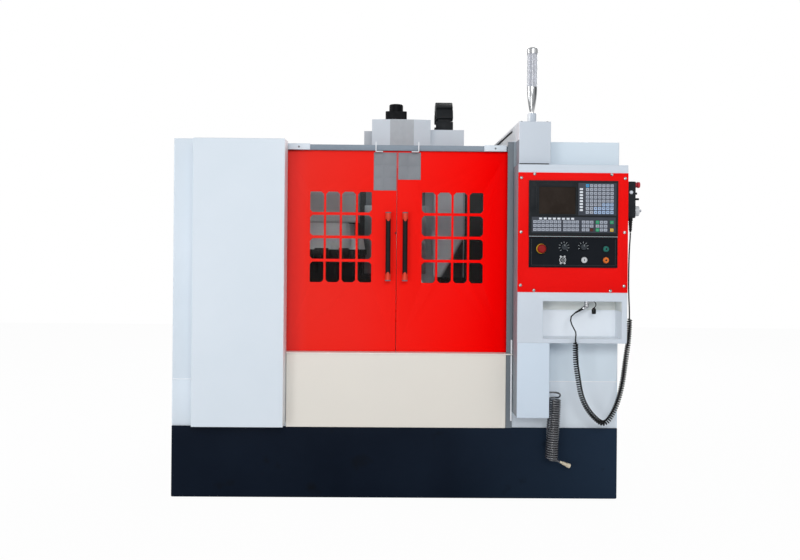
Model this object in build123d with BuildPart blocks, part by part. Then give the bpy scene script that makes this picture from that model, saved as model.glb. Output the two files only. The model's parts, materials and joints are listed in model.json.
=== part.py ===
"""Vertical machining centre with sliding doors, built from its base up.

The origin is at the middle of the base's bottom. +X is to the right of a viewer at the
doors, +Y points to the back and +Z up. All sizes are in millimetres.
"""

import os
from math import radians, tan

from build123d import *

os.makedirs("parts", exist_ok=True)

# Fits, sheets and edges
overrun = 5
clearance = 0.3
sheet = 4
cover_sheet = 3
cover_corner = 6
edge = 3
bend_share = 0.45

# Base, chip pan and walls
base_width = 2100
base_depth = 1800
base_height = 332
base_wall = 8
base_corner = 12
wall_setback = 10
pan_height = 220
pan_gap = 3
wall_height = 1130
chamber_rear_gap = 8
front_flange = 510
rear_flange = 70

# Left front cover
cover_left = -934
cover_right = -515
cover_above_base = 18
cover_height = 1322
cover_depth = 120

# Doors, windows and grips
door_width = 527
door_height = 948
door_above_base = 353
door_depth = 28
door_setback = 40
split_gap = 1
pane_thickness = 5
pane_margin = 14
window_columns = 4
window_rows = 4
cell_width = 65.3
cell_height = 97.6
bar_width = 10.4
bar_height = 13.4
bar_flare = 12
grid_corner = 6
grid_from_split = 265.5
grid_above_bottom = 540
grip_from_split = 40
grip_above_door = 334
grip_length = 325
grip_standoff = 38
grip_radius = 11.5
grip_end_radius = 13.5
grip_end_height = 32
grip_end_edge = 4
hanger_length = 60
hanger_spacing = 300
hanger_thickness = 6

# Door header, sill, post and lower front panel
header_gap = 3
header_height = 26
header_depth = 58
header_slot = 24
header_setback = 20
header_pad_length = 105
header_pad_edge = 517
header_pad_depth = 10
header_pad_height = 29
shoe_height = 12
shoe_width = 36
sill_thickness = 6
sill_drop = 3
sill_rear = 50
sill_lip_depth = 5
sill_lip_gap = 1
panel_depth = 15
panel_right = 519
panel_gap = 2
post_left = 521
post_width = 28
post_depth = 10
post_below_wall = 3
post_groove = 1

# Control box with its panels
box_left = 550
box_width = 503
box_depth = 150
box_above_base = 416
box_height = 814
box_wall = 12
recess_left = 668
recess_width = 361
recess_above_box = 20
recess_height = 171
recess_depth = 118
red_above_box = 232
red_height = 545
cnc_left = 598
cnc_width = 407
cnc_above_red = 260
cnc_height = 249
unit_thickness = 8
unit_edge = 2
unit_rear_margin = 16
unit_rear_depth = 60
bezel_left = 636
bezel_width = 183
bezel_rise_in_unit = 90
bezel_height = 148
bezel_rise = 3
screen_left = 644
screen_width = 166
screen_rise_in_unit = 96
screen_height = 123
screen_thickness = 2
screen_fit = 0.5
pad_left = 826
pad_width = 168
pad_rise_in_unit = 93
pad_height = 144
strip_left = 613
strip_width = 379
strip_rise_in_unit = 14
strip_height = 68
pad_recess = 2
pad_thickness = 2.5
key_rise = 1.6
pad_columns = 8
pad_rows = 8
key_width = 15
key_height = 12
key_pitch_x = 20
key_pitch_z = 17
strip_key_width = 13
strip_key_height = 13
strip_key_pitch_x = 19.5
strip_key_pitch_z = 18
strip_columns = 19
strip_rows = 3
operator_left = 600
operator_width = 404
operator_above_red = 113
operator_height = 136
operator_thickness = 6
operator_rim = 6
operator_sink = 2

# Controls on the operator panel
stop_switch_x = 656
stop_switch_rise = 85
stop_collar_radius = 22
stop_collar_height = 6
stop_head_radius = 18
stop_head_height = 15
stop_head_dome = 6
stop_stem_radius = 12
stop_travel = 6
stop_spare = 1
knob_radius = 13
knob_height = 16
knob_edge = 1.5
knob_shaft_radius = 3
pointer_width = 4
pointer_rise = 3
feed_knob_x = 760
spindle_knob_x = 848
knob_rise = 94
key_switch_x = 852
lower_row_rise = 35
ring_radius = 15
ring_height = 5
ring_hole_radius = 11.3
plunger_proud = 4
plunger_edge = 1.5
button_x = 951
start_button_rise = 86
stem_depth = 17
key_slot_width = 2.4
key_slot_length = 13
key_slot_depth = 6
port_x = 754
port_flange = 30
port_thickness = 3
port_radius = 10
port_depth = 9
port_hole_radius = 7
port_hole_depth = 7

# Cable trunk and signal lamp
lamp_box_left = 558
lamp_box_width = 147
lamp_box_forward = 110
lamp_box_depth = 227
trunk_height = 81
trunk_inset = 6
trunk_lift = 8
lid_thickness = 12
lid_groove = 4
lid_groove_inset = 26
lamp_x = 634
lamp_setback = 4
collar_radius = 20.5
collar_height = 53
stem_radius = 9.7
stem_height = 6
cone_height = 118
cone_middle_radius = 20
lens_radius = 24
lens_height = 158
cap_radius = 26.5
cap_height = 28
cap_dome = 10

# Service box and air hose
service_left = 551
service_width = 149
service_above_base = 75
gland_radius = 9
gland_length = 12
gland_above_base = 180
hose_forward = 78
hose_radius = 4
hose_coil_radius = 31.5
hose_coil_drop = 28
hose_coil_height = 278
hose_coil_top_x = 738
hose_coil_bottom_x = 726
hose_drop_x = 765
hose_tail_x = 749
hose_exit_run = 30
hose_turn_height = 19
hose_tail_drop = 8
coupler_run_x = 16
coupler_drop = 7
coupler_neck_radius = 5.5
coupler_neck_length = 14
coupler_body_radius = 8
coupler_body_length = 20
coupler_sleeve_radius = 10.5
coupler_sleeve_length = 17
coupler_bore_radius = 5.5
coupler_bore_depth = 24

# Pendant, its plug and its curly cord
pendant_standoff = 5
pendant_thickness = 42
pendant_width = 80
pendant_height = 169
pendant_above_box = 575
pendant_forward = 65
pendant_corner = 8
hook_margin = 15
relief_length = 65
relief_top_radius = 8
relief_bottom_radius = 4.5
cord_x = 1087
cord_radius = 2.75
curl_radius = 10.5
curl_below_pendant = 464
wheel_rise = 34
wheel_radius = 24
wheel_thickness = 22
wheel_edge = 3
wheel_gap = 2
wheel_shaft_radius = 5
wheel_shaft_depth = 20
crank_radius = 5
crank_length = 8
crank_offset = 15
pendant_stop_rise = 155
pendant_stop_radius = 14
pendant_stop_height = 12
pendant_stop_dome = 4
pendant_stop_stem = 8
pendant_stop_travel = 4
pendant_collar_radius = 12.5
pendant_collar_height = 12
pendant_knob_radius = 5
pendant_knob_upper_height = 16
pendant_knob_lower_height = 25
pendant_knob_upper_rise = 115
pendant_knob_lower_rise = 89
enable_radius = 8
enable_height = 4
enable_x = 1078
enable_rise = 118
socket_x = 879
socket_forward = 95
socket_radius = 11
socket_height = 17
plug_nut_radius = 9.5
plug_nut_height = 9
plug_elbow_radius = 8.5
plug_radius = 7.5
plug_length = 22
boot_wide_radius = 6
boot_narrow_radius = 4

# The curly cord's bends from its plug to its strain relief, from the control box's left side,
# the wall's front and the control box's bottom
lead_bends = [
    (275, -105, 136),
    (248, -110, 121.5),
    (250, -146, 82),
    (268, -164, 52),
    (264, -168.5, 29),
    (264, -168, 9),
]
curl_bends = [
    (264, -168, 9),
    (264, -166, -71),
    (279, -157, -158),
    (295, -150, -243),
    (330, -141, -310),
    (380, -132, -362),
    (408, -125, -374),
    (435, -119, -352),
    (472, -108, -286),
    (500, -96, -198),
    (518, -82, -83),
]
curl_straight = 94

# Bed, saddle and table
bed_half_width = 280
bed_top_half_width = 240
bed_setback = 240
bed_rear_gap = 220
bed_height = 243
bed_foot_height = 68
bed_waist_height = 128
y_rail_x = 180
rail_width = 30
y_rail_height = 40
y_rail_inset = 60
y_rail_rear_gap = 60
y_screw_radius = 14
y_screw_rise = 21
bearing_half = 45
bearing_length = 40
y_motor_size = 100
y_motor_length = 110
spindle_reach = 450
saddle_half_width = 360
saddle_half_depth = 170
saddle_height = 104
saddle_edge = 8
block_length = 90
block_half_width = 34
block_grip = 24
x_rail_y = 110
x_rail_height = 30
x_screw_radius = 12
x_screw_rise = 18
x_motor_length = 100
x_motor_drop = 85
nut_half = 30
nut_wall = 4
table_half_length = 400
table_half_width = 160
table_thickness = 60
table_edge = 4
table_block_x = 60
slot_count = 3
slot_pitch = 90
slot_width = 14
slot_neck = 15
slot_foot_width = 24
slot_foot_height = 10
table_lift = 40
way_cover_half = 270
way_cover_overhang = 60
way_cover_rise = 77
way_cover_drop = 80

# Column, spindle head and its cover
column_half_width = 237
column_from_rear = 670
column_foot_depth = 430
column_top_depth = 330
column_height = 1205
column_edge = 15
column_pocket_width = 200
column_pocket_height = 800
column_pocket_depth = 30
column_pocket_edge = 20
column_pocket_inset = 200
column_pocket_rise = 585
z_rail_x = 140
z_rail_depth = 30
z_rail_rise = 425
z_rail_below_top = 20
z_screw_gap = 40
z_screw_radius = 16
z_bracket_half = 75
z_bracket_thickness = 20
z_motor_size = 125
z_motor_height = 173
z_motor_corner = 12
z_motor_cap_radius = 41
z_motor_cap_height = 47
z_motor_cap_edge = 8
head_half_width = 105
head_nose = 90
head_rise = 845
head_height = 280
head_chin = 12
head_front_radius = 82
head_plate_half = 170
head_plate_gap = 90
head_plate_thickness = 25
z_block_length = 80
nose_radius = 75
nose_height = 75
spindle_bore_radius = 32
spindle_fit = 0.1
spindle_height = 350
spindle_nose_radius = 44
spindle_nose_height = 20
taper_mouth_radius = 22.2
taper_end_radius = 12.7
taper_depth = 65
motor_half = 80
motor_height = 135
motor_offset = 30
motor_corner = 12
head_cover_left = -132
head_cover_right = 182
head_cover_nose = 110
head_cover_depth = 370
head_cover_shoulder = 14
head_facet_left = -35
head_facet_right = 92
head_cover_rise = 180
head_cover_height = 261
head_cover_sheet = 2.5
left_pod_width = 45
left_pod_setback = 130
left_pod_depth = 200
left_pod_rise = 270
left_pod_height = 123
right_pod_width = 185
right_pod_setback = 80
right_pod_depth = 180
right_pod_rise = 160
right_pod_height = 237
bracket_length = 40
bracket_height = 40
bracket_offset = 140
bracket_rise = 220
way_plate_half = 180
way_plate_thickness = 3
way_plate_height = 400

# Drag chain and its trough
chain_left = 220
chain_width = 94
chain_thickness = 42
chain_offset = 90
chain_radius = 90
chain_centre_rise = 464
chain_leg_length = 287
link_pitch = 55
link_gap = 5
web_inset = 10
web_thickness = 22
arch_links = 5
trough_sheet = 3
trough_right_room = 80
trough_rise = 430
trough_height = 635
trough_depth = 60
trough_arm_rise = 120
trough_arm_height = 90

# Tool magazine
magazine_x = -450
housing_left = -700
housing_right = -200
housing_nose = 110
housing_depth = 220
housing_rise = 735
housing_height = 144
housing_edge = 10
arm_outer = 520
arm_inner = 400
arm_depth = 100
arm_setback = 10
arm_rise = 30
arm_height = 90
carriage_thickness = 8
carriage_half_length = 190
carriage_half_width = 70
drum_radius = 225
drum_drop = 151
drum_edge = 12
gripper_radius = 250
gripper_thickness = 24
tool_count = 12
tool_circle = 262
flange_radius = 31
flange_height = 28
shank_radius = 22
shank_end_radius = 13
shank_height = 66
collet_radius = 24
collet_height = 42
cutter_radius = 8
cutter_height = 70

# Electrical cabinet
cabinet_left = 300
cabinet_width = 740
cabinet_from_rear = 460
cabinet_depth = 420
cabinet_height = 1438
cabinet_sheet = 4
drive_plate_thickness = 4
drive_plate_margin = 40
drive_plate_gap = 16
drive_count = 5
drive_width = 70
drive_height = 380
drive_depth = 190
drive_rise = 918
drive_pitch = 110
rack_door_depth = 22
rack_door_gap = 0.5
rack_handle_radius = 12
rack_handle_length = 180
rack_handle_rise = 20
rack_handle_inset = 60
hinge_radius = 7
hinge_pin_radius = 4
hinge_pin_fit = 0.1
hinge_length = 70
hinge_count = 3
hinge_spacing = 480

# Places worked out from the sizes above
wall_half = base_width / 2
base_x = (-wall_half, wall_half)
base_y = (-base_depth / 2, base_depth / 2)
wall_front = base_y[0] + wall_setback
cabinet_front = base_y[1] - cabinet_from_rear
wall_rear = cabinet_front - chamber_rear_gap
wall_y = (wall_front, wall_rear)
seam_z = base_height + pan_height
wall_top = seam_z + wall_height
inside_x = (-wall_half + sheet, wall_half - sheet)
flange_edge = wall_half - front_flange
cover_bottom = base_height + cover_above_base
cover_x = (cover_left, cover_right)
cover_y = (wall_front - cover_depth, wall_front)
cover_z = (cover_bottom, cover_bottom + cover_height)
door_bottom = base_height + door_above_base
grip_bottom = door_bottom + grip_above_door
door_face = wall_front + door_setback
door_y = (door_face, door_face + door_depth)
door_top = door_bottom + door_height
door_z = (door_bottom, door_top)
header_front = wall_front + header_setback
header_y = (header_front, header_front + header_depth)
header_mid = sum(header_y) / 2
header_z = (door_top + header_gap, door_top + header_gap + header_height)
sill_z = (door_bottom - sill_drop - sill_thickness, door_bottom - sill_drop)
panel_front = wall_front - panel_depth
panel_x = (cover_right + panel_gap, panel_right)
post_x = (post_left, post_left + post_width)
post_top = wall_top - post_below_wall
box_bottom = base_height + box_above_base
box_x = (box_left, box_left + box_width)
box_y = (wall_front - box_depth, wall_front)
box_z = (box_bottom, box_bottom + box_height)
box_face = box_y[0]
recess_bottom = box_bottom + recess_above_box
recess_x = (recess_left, recess_left + recess_width)
recess_z = (recess_bottom, recess_bottom + recess_height)
red_bottom = box_bottom + red_above_box
red_z = (red_bottom, red_bottom + red_height)
panel_face = box_face - cover_sheet
cnc_bottom = red_bottom + cnc_above_red
bezel_bottom = cnc_bottom + bezel_rise_in_unit
screen_bottom = cnc_bottom + screen_rise_in_unit
pad_bottom = cnc_bottom + pad_rise_in_unit
strip_bottom = cnc_bottom + strip_rise_in_unit
cnc_x = (cnc_left, cnc_left + cnc_width)
cnc_z = (cnc_bottom, cnc_bottom + cnc_height)
cnc_face = panel_face - unit_thickness
operator_bottom = red_bottom + operator_above_red
stop_switch_z = operator_bottom + stop_switch_rise
knob_z = operator_bottom + knob_rise
lower_row_z = operator_bottom + lower_row_rise
start_button_z = operator_bottom + start_button_rise
operator_x = (operator_left, operator_left + operator_width)
operator_z = (operator_bottom, operator_bottom + operator_height)
operator_face = panel_face - operator_thickness + operator_sink
lamp_box_front = wall_front - lamp_box_forward
lamp_y = wall_front + lamp_setback
lamp_box_x = (lamp_box_left, lamp_box_left + lamp_box_width)
trunk_top = wall_top + trunk_height
service_bottom = base_height + service_above_base
gland_z = base_height + gland_above_base
hose_y = wall_front - hose_forward
hose_coil_top = gland_z - hose_coil_drop
hose_coil_bottom = hose_coil_top - hose_coil_height
service_x = (service_left, service_left + service_width)
service_z = (service_bottom, box_bottom)
pendant_bottom = box_bottom + pendant_above_box
pendant_y = wall_front - pendant_forward
socket_y = wall_front - socket_forward
wheel_z = pendant_bottom + wheel_rise
pendant_stop_z = pendant_bottom + pendant_stop_rise
pendant_knob_upper_z = pendant_bottom + pendant_knob_upper_rise
pendant_knob_lower_z = pendant_bottom + pendant_knob_lower_rise
enable_z = pendant_bottom + enable_rise
curl_top = pendant_bottom - curl_below_pendant
pendant_x = (box_x[1] + pendant_standoff, box_x[1] + pendant_standoff + pendant_thickness)
pendant_z = (pendant_bottom, pendant_bottom + pendant_height)
pendant_face = pendant_x[1]
lead_route = [(box_left + x, wall_front + y, box_bottom + z) for x, y, z in lead_bends]
curl_route = [(box_left + x, wall_front + y, box_bottom + z) for x, y, z in curl_bends] + [
    (cord_x, pendant_y, curl_top - curl_straight),
    (cord_x, pendant_y, curl_top),
]
bed_front = wall_front + bed_setback
bed_length = base_y[1] - bed_rear_gap - bed_front
column_front = base_y[1] - column_from_rear
spindle_y = column_front - spindle_reach
bed_top = base_height + bed_height
y_rail_front = bed_front + y_rail_inset
y_rail_length = column_front - y_rail_rear_gap - y_rail_front
way_cover_top = bed_top + way_cover_rise
way_cover_length = spindle_y - saddle_half_depth - bed_front + way_cover_overhang
y_rail_top = bed_top + y_rail_height
saddle_bottom = y_rail_top + 3 * clearance
saddle_top = saddle_bottom + saddle_height
x_rail_top = saddle_top + x_rail_height
table_bottom = x_rail_top + table_lift
table_top = table_bottom + table_thickness
column_top = bed_top + column_height
column_pocket_y = column_front + column_pocket_inset
column_pocket_z = bed_top + column_pocket_rise
z_rail_bottom = bed_top + z_rail_rise
z_rail_top = column_top - z_rail_below_top
z_screw_y = column_front - z_screw_gap
z_rail_front = column_front - z_rail_depth
z_bracket_top = column_top + z_bracket_thickness
head_bottom = bed_top + head_rise
head_top = head_bottom + head_height
head_front = spindle_y - head_nose
head_plate_front = column_front - head_plate_gap
motor_y = spindle_y + motor_offset
head_cover_front = spindle_y - head_cover_nose
head_cover_rear = head_cover_front + head_cover_depth
head_cover_bottom = head_bottom + head_cover_rise
head_cover_top = head_cover_bottom + head_cover_height
left_pod_front = head_cover_front + left_pod_setback
left_pod_rear = left_pod_front + left_pod_depth
left_pod_bottom = head_bottom + left_pod_rise
left_pod_top = left_pod_bottom + left_pod_height
right_pod_front = head_cover_front + right_pod_setback
right_pod_rear = right_pod_front + right_pod_depth
right_pod_bottom = head_bottom + right_pod_rise
right_pod_top = right_pod_bottom + right_pod_height
bracket_y = spindle_y + bracket_offset
bracket_z = head_bottom + bracket_rise
nose_bottom = head_bottom - nose_height
spindle_bottom = nose_bottom - spindle_nose_height
housing_bottom = bed_top + housing_rise
housing_top = housing_bottom + housing_height
housing_front = spindle_y - housing_nose
housing_rear = housing_front + housing_depth
arm_front = column_front + arm_setback
arm_rear = arm_front + arm_depth
arm_bottom = housing_bottom + arm_rise
arm_top = arm_bottom + arm_height
drum_bottom = housing_bottom - drum_drop
carriage_bottom = housing_bottom - clearance - carriage_thickness
drum_top = carriage_bottom - clearance
chain_x = (chain_left, chain_left + chain_width)
chain_front_y = spindle_y + chain_offset
chain_rear_y = chain_front_y + 2 * chain_radius
chain_centre_z = head_bottom + chain_centre_rise
chain_leg_bottom = chain_centre_z - chain_leg_length
trough_bottom = bed_top + trough_rise
trough_top = trough_bottom + trough_height
trough_arm_bottom = trough_bottom + trough_arm_rise
cabinet_x = (cabinet_left, cabinet_left + cabinet_width)
cabinet_y = (cabinet_front, cabinet_front + cabinet_depth)
cabinet_top = base_height + cabinet_height
drive_z = base_height + drive_rise
cabinet_z = (base_height, cabinet_top)
rack_door_front = cabinet_y[1] + rack_door_gap
hinge_x = cabinet_x[1] + hinge_radius + clearance
hinge_y = rack_door_front + hinge_radius

pieces = {}


def block(x, y, z, mode=Mode.ADD):
    """A box between three pairs of limits, added to or cut from the part in hand."""
    with Locations((sum(x) / 2, sum(y) / 2, sum(z) / 2)):
        Box(x[1] - x[0], y[1] - y[0], z[1] - z[0], mode=mode)


def hollow_from_back(x, y, z, wall):
    """Opens a tray from behind, leaving its front and its four sides."""
    block(grown(x, -wall), (y[0] + wall, y[1] + overrun), grown(z, -wall), Mode.SUBTRACT)


def grown(pair, by):
    """A pair of limits moved apart at both ends."""
    return (pair[0] - by, pair[1] + by)


def around(middle, half):
    """The pair of limits on both sides of a middle."""
    return (middle - half, middle + half)


def towards(side, near, far):
    """A pair of limits given from the middle of the machine, on its left or right."""
    return tuple(sorted((side * near, side * far)))


def facing_front(x, y, z):
    """A plane seen by the viewer at the doors: its normal is -Y and its up is +Z."""
    return Plane(origin=(x, y, z), x_dir=(1, 0, 0), z_dir=(0, -1, 0))


def facing_right(x, y, z):
    """A plane whose normal is +X."""
    return Plane(origin=(x, y, z), x_dir=(0, 1, 0), z_dir=(1, 0, 0))


def bend_radii(route):
    """The radius at each corner of a cord's route, as large as its two runs allow."""
    radii = []
    for before, here, after in zip(route, route[1:], route[2:]):
        arriving = Vector(*here) - Vector(*before)
        leaving = Vector(*after) - Vector(*here)
        turn = radians(arriving.get_angle(leaving))
        shorter = min(arriving.length, leaving.length)
        radii.append(bend_share * shorter / tan(turn / 2))
    return radii


def cord_tube(route, radius, label):
    """A tube along a cord's route, of straight runs and tangent arcs."""
    radii = bend_radii(route)
    with BuildPart() as tube:
        with BuildLine():
            path = FilletPolyline(*route, radius=radii)
        with BuildSketch(Plane(origin=path @ 0, z_dir=path % 0)) as section:
            Circle(radius)
        sweep()
    solid_share = tube.part.volume / (section.sketch.area * path.length)
    print(label, "radii", [round(r) for r in radii], "volume share", round(solid_share, 3))
    return tube


# Base, walls and covers
with BuildPart() as base_plinth:
    block(base_x, base_y, (0, base_height))
    fillet(base_plinth.edges().filter_by(Axis.Z), base_corner)
    fillet(base_plinth.faces().sort_by(Axis.Z)[-1].edges(), edge)
    block(
        grown(base_x, -base_wall),
        grown(base_y, -base_wall),
        (base_wall, base_height - base_wall),
        Mode.SUBTRACT,
    )
pieces["base_plinth"] = base_plinth

with BuildPart() as chip_pan:
    block(base_x, wall_y, (base_height, seam_z))
    fillet(chip_pan.edges().filter_by(Axis.Z), cover_corner)
    offset(amount=-sheet, openings=chip_pan.faces().sort_by(Axis.Z)[-1])
    block(
        around(0, bed_half_width + pan_gap),
        (bed_front - pan_gap, wall_rear + overrun),
        (base_height - overrun, seam_z + overrun),
        Mode.SUBTRACT,
    )
pieces["chip_pan"] = chip_pan


def side_panel(side):
    """A folded side wall with its front and rear flanges."""
    outer = side * wall_half
    inner = side * (wall_half - sheet)
    front_edge = side * flange_edge
    rear_edge = side * (wall_half - rear_flange)
    with BuildPart() as panel:
        with BuildSketch(Plane.XY.offset(seam_z)):
            with BuildLine():
                Polyline(
                    (front_edge, wall_front),
                    (outer, wall_front),
                    (outer, wall_rear),
                    (rear_edge, wall_rear),
                    (rear_edge, wall_rear - sheet),
                    (inner, wall_rear - sheet),
                    (inner, wall_front + sheet),
                    (front_edge, wall_front + sheet),
                    close=True,
                )
            make_face()
        extrude(amount=wall_height)
        folds = panel.edges().filter_by(Axis.Z).group_by(Axis.X)[0 if side < 0 else -1]
        fillet(folds, cover_corner)
    return panel


pieces["left_side_panel"] = side_panel(-1)
pieces["right_side_panel"] = side_panel(1)

with BuildPart() as rear_panels:
    for side in (-1, 1):
        block(
            towards(side, bed_top_half_width + pan_gap, wall_half - sheet - pan_gap),
            (wall_rear - 2 * sheet, wall_rear - sheet),
            (seam_z, wall_top),
        )
        block(
            towards(side, bed_half_width + 2 * pan_gap, wall_half - sheet - pan_gap),
            (wall_rear - 2 * sheet, wall_rear - sheet),
            (seam_z - way_cover_drop, seam_z),
        )
pieces["rear_panels"] = rear_panels

with BuildPart() as left_front_cover:
    block(cover_x, cover_y, cover_z)
    fillet(left_front_cover.faces().sort_by(Axis.Y)[0].edges(), edge)
    hollow_from_back(cover_x, cover_y, cover_z, cover_sheet)
pieces["left_front_cover"] = left_front_cover

# Door header, sill, lower panel and post
with BuildPart() as door_header:
    with BuildSketch(Plane.YZ.offset(inside_x[0])):
        with BuildLine():
            Polyline(
                (header_y[0], header_z[0]),
                (header_mid - header_slot / 2, header_z[0]),
                (header_mid - header_slot / 2, header_z[0] + cover_sheet),
                (header_y[0] + cover_sheet, header_z[0] + cover_sheet),
                (header_y[0] + cover_sheet, header_z[1] - cover_sheet),
                (header_y[1] - cover_sheet, header_z[1] - cover_sheet),
                (header_y[1] - cover_sheet, header_z[0] + cover_sheet),
                (header_mid + header_slot / 2, header_z[0] + cover_sheet),
                (header_mid + header_slot / 2, header_z[0]),
                (header_y[1], header_z[0]),
                (header_y[1], header_z[1]),
                (header_y[0], header_z[1]),
                close=True,
            )
        make_face()
    extrude(amount=inside_x[1] - inside_x[0])
    for side in (-1, 1):
        block(
            towards(side, header_pad_edge - header_pad_length, header_pad_edge),
            (header_front - header_pad_depth, header_front),
            (header_z[0], header_z[0] + header_pad_height),
        )
pieces["door_header"] = door_header

with BuildPart() as door_sill:
    block(around(0, flange_edge - panel_gap), (wall_front, wall_front + sheet), (seam_z, sill_z[1]))
    block(inside_x, (wall_front + sheet, door_face + sill_rear), sill_z)
    block(panel_x, (panel_front, wall_front + sheet), sill_z)
    block(
        (panel_x[0], service_x[0] - sill_lip_gap),
        (panel_front - sill_lip_depth, wall_front - post_depth - clearance),
        sill_z,
    )
    fillet(door_sill.faces().sort_by(Axis.Y)[0].edges().filter_by(Axis.X), post_groove)
pieces["door_sill"] = door_sill

with BuildPart() as lower_front_panel:
    block(panel_x, (panel_front, wall_front), (base_height, sill_z[0]))
    fillet(lower_front_panel.faces().sort_by(Axis.Y)[0].edges(), edge)
    hollow_from_back(panel_x, (panel_front, wall_front), (base_height, sill_z[0]), cover_sheet)
pieces["lower_front_panel"] = lower_front_panel

with BuildPart() as door_post:
    block(post_x, (wall_front - post_depth, wall_front), (base_height, post_top))
    fillet(door_post.edges().filter_by(Axis.Z).group_by(Axis.Y)[0], post_groove)
    block(
        grown(post_x, -cover_sheet),
        (wall_front - post_depth + cover_sheet, wall_front + overrun),
        (base_height - overrun, post_top + overrun),
        Mode.SUBTRACT,
    )
pieces["door_post"] = door_post


# Doors
def door_panel(side):
    """A door tray with its window cells and its hangers, and the pane behind the cells."""
    grid_x = side * grid_from_split
    grid_z = door_bottom + grid_above_bottom
    pitch_x = cell_width + bar_width
    pitch_z = cell_height + bar_height
    grid_width = window_columns * pitch_x - bar_width
    grid_height = window_rows * pitch_z - bar_height
    with BuildPart() as door:
        door_x = towards(side, split_gap, door_width)
        block(door_x, door_y, door_z)
        fillet(door.faces().sort_by(Axis.Y)[0].edges(), edge)
        hollow_from_back(door_x, door_y, door_z, cover_sheet)
        with BuildSketch(facing_front(grid_x, door_face, grid_z)) as cells:
            with GridLocations(pitch_x, pitch_z, window_columns, window_rows):
                Rectangle(cell_width, cell_height)
            near_side = grid_width / 2 - bar_width
            near_end = grid_height / 2 - bar_height
            flared = [
                v for v in cells.vertices() if (abs(v.X) > near_side) != (abs(v.Y) > near_end)
            ]
            chamfer(flared, bar_flare)
            outermost = [
                v
                for v in cells.vertices()
                if abs(v.X) > near_side + clearance and abs(v.Y) > near_end + clearance
            ]
            corners = [
                v
                for v in outermost
                if abs(v.X) > grid_width / 2 - clearance and abs(v.Y) > grid_height / 2 - clearance
            ]
            fillet(corners, grid_corner)
        extrude(amount=-cover_sheet - overrun, mode=Mode.SUBTRACT)
        for place in (-hanger_spacing / 2, hanger_spacing / 2):
            middle = side * door_width / 2 + place
            block(
                around(middle, hanger_length / 2),
                around(header_mid, hanger_thickness / 2),
                (door_top - cover_sheet, header_z[0] + cover_sheet + clearance),
            )
            block(
                around(middle, hanger_length / 2),
                around(header_mid, shoe_width / 2),
                (
                    header_z[0] + cover_sheet + clearance,
                    header_z[0] + cover_sheet + clearance + shoe_height,
                ),
            )
    with BuildPart() as pane:
        block(
            around(grid_x, grid_width / 2 + pane_margin),
            (door_face + cover_sheet, door_face + cover_sheet + pane_thickness),
            around(grid_z, grid_height / 2 + pane_margin),
        )
    return door, pane


def door_grip(side):
    """A pull bar and the two end pieces that hold it off the door."""
    grip_x = side * grip_from_split
    grip_y = door_face - grip_standoff
    bar_bottom = grip_bottom + grip_end_height
    with BuildPart() as grip:
        with BuildSketch(Plane.XY.offset(bar_bottom)):
            with Locations((grip_x, grip_y)):
                Circle(grip_radius)
        extrude(amount=grip_length - 2 * grip_end_height)
    with BuildPart() as ends:
        for end_bottom in (grip_bottom, grip_bottom + grip_length - grip_end_height):
            with BuildSketch(Plane.XY.offset(end_bottom)):
                with Locations((grip_x, grip_y)):
                    Circle(grip_end_radius)
                with Locations((grip_x, grip_y + grip_standoff / 2)):
                    Rectangle(2 * grip_end_radius, grip_standoff)
            extrude(amount=grip_end_height)
        tips = ends.faces().filter_by(Axis.Z).group_by(Axis.Z)
        fillet(tips[0].edges().group_by(Axis.Y)[0], grip_end_edge)
        fillet(ends.faces().filter_by(Axis.Z).group_by(Axis.Z)[-1].edges().group_by(Axis.Y)[0], grip_end_edge)
    return grip, ends


for name, side in (("left", -1), ("right", 1)):
    pieces[f"{name}_door"], pieces[f"{name}_window"] = door_panel(side)
    pieces[f"{name}_grip"], pieces[f"{name}_grip_ends"] = door_grip(side)

# Control box and its panels
with BuildPart() as control_box:
    block(box_x, box_y, box_z)
    fillet(control_box.edges().filter_by(Axis.Z).group_by(Axis.Y)[0], edge)
    block(
        grown(box_x, -box_wall),
        (box_face - overrun, wall_front - box_wall),
        grown(red_z, -box_wall),
        Mode.SUBTRACT,
    )
    block(recess_x, (box_face - overrun, box_face + recess_depth), recess_z, Mode.SUBTRACT)
    block(
        (box_x[1], pendant_x[0]),
        around(pendant_y, pendant_width / 2 - hook_margin),
        grown(pendant_z, -hook_margin),
    )
pieces["control_box"] = control_box

with BuildPart() as control_panel:
    block(box_x, (panel_face, box_face), red_z)
    block(
        grown(cnc_x, -unit_rear_margin + panel_gap),
        grown((panel_face, box_face), overrun),
        grown(cnc_z, -unit_rear_margin + panel_gap),
        Mode.SUBTRACT,
    )
    block(
        grown(operator_x, -unit_rear_margin),
        grown((panel_face, box_face), overrun),
        grown(operator_z, -unit_rear_margin),
        Mode.SUBTRACT,
    )
pieces["control_panel"] = control_panel

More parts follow.
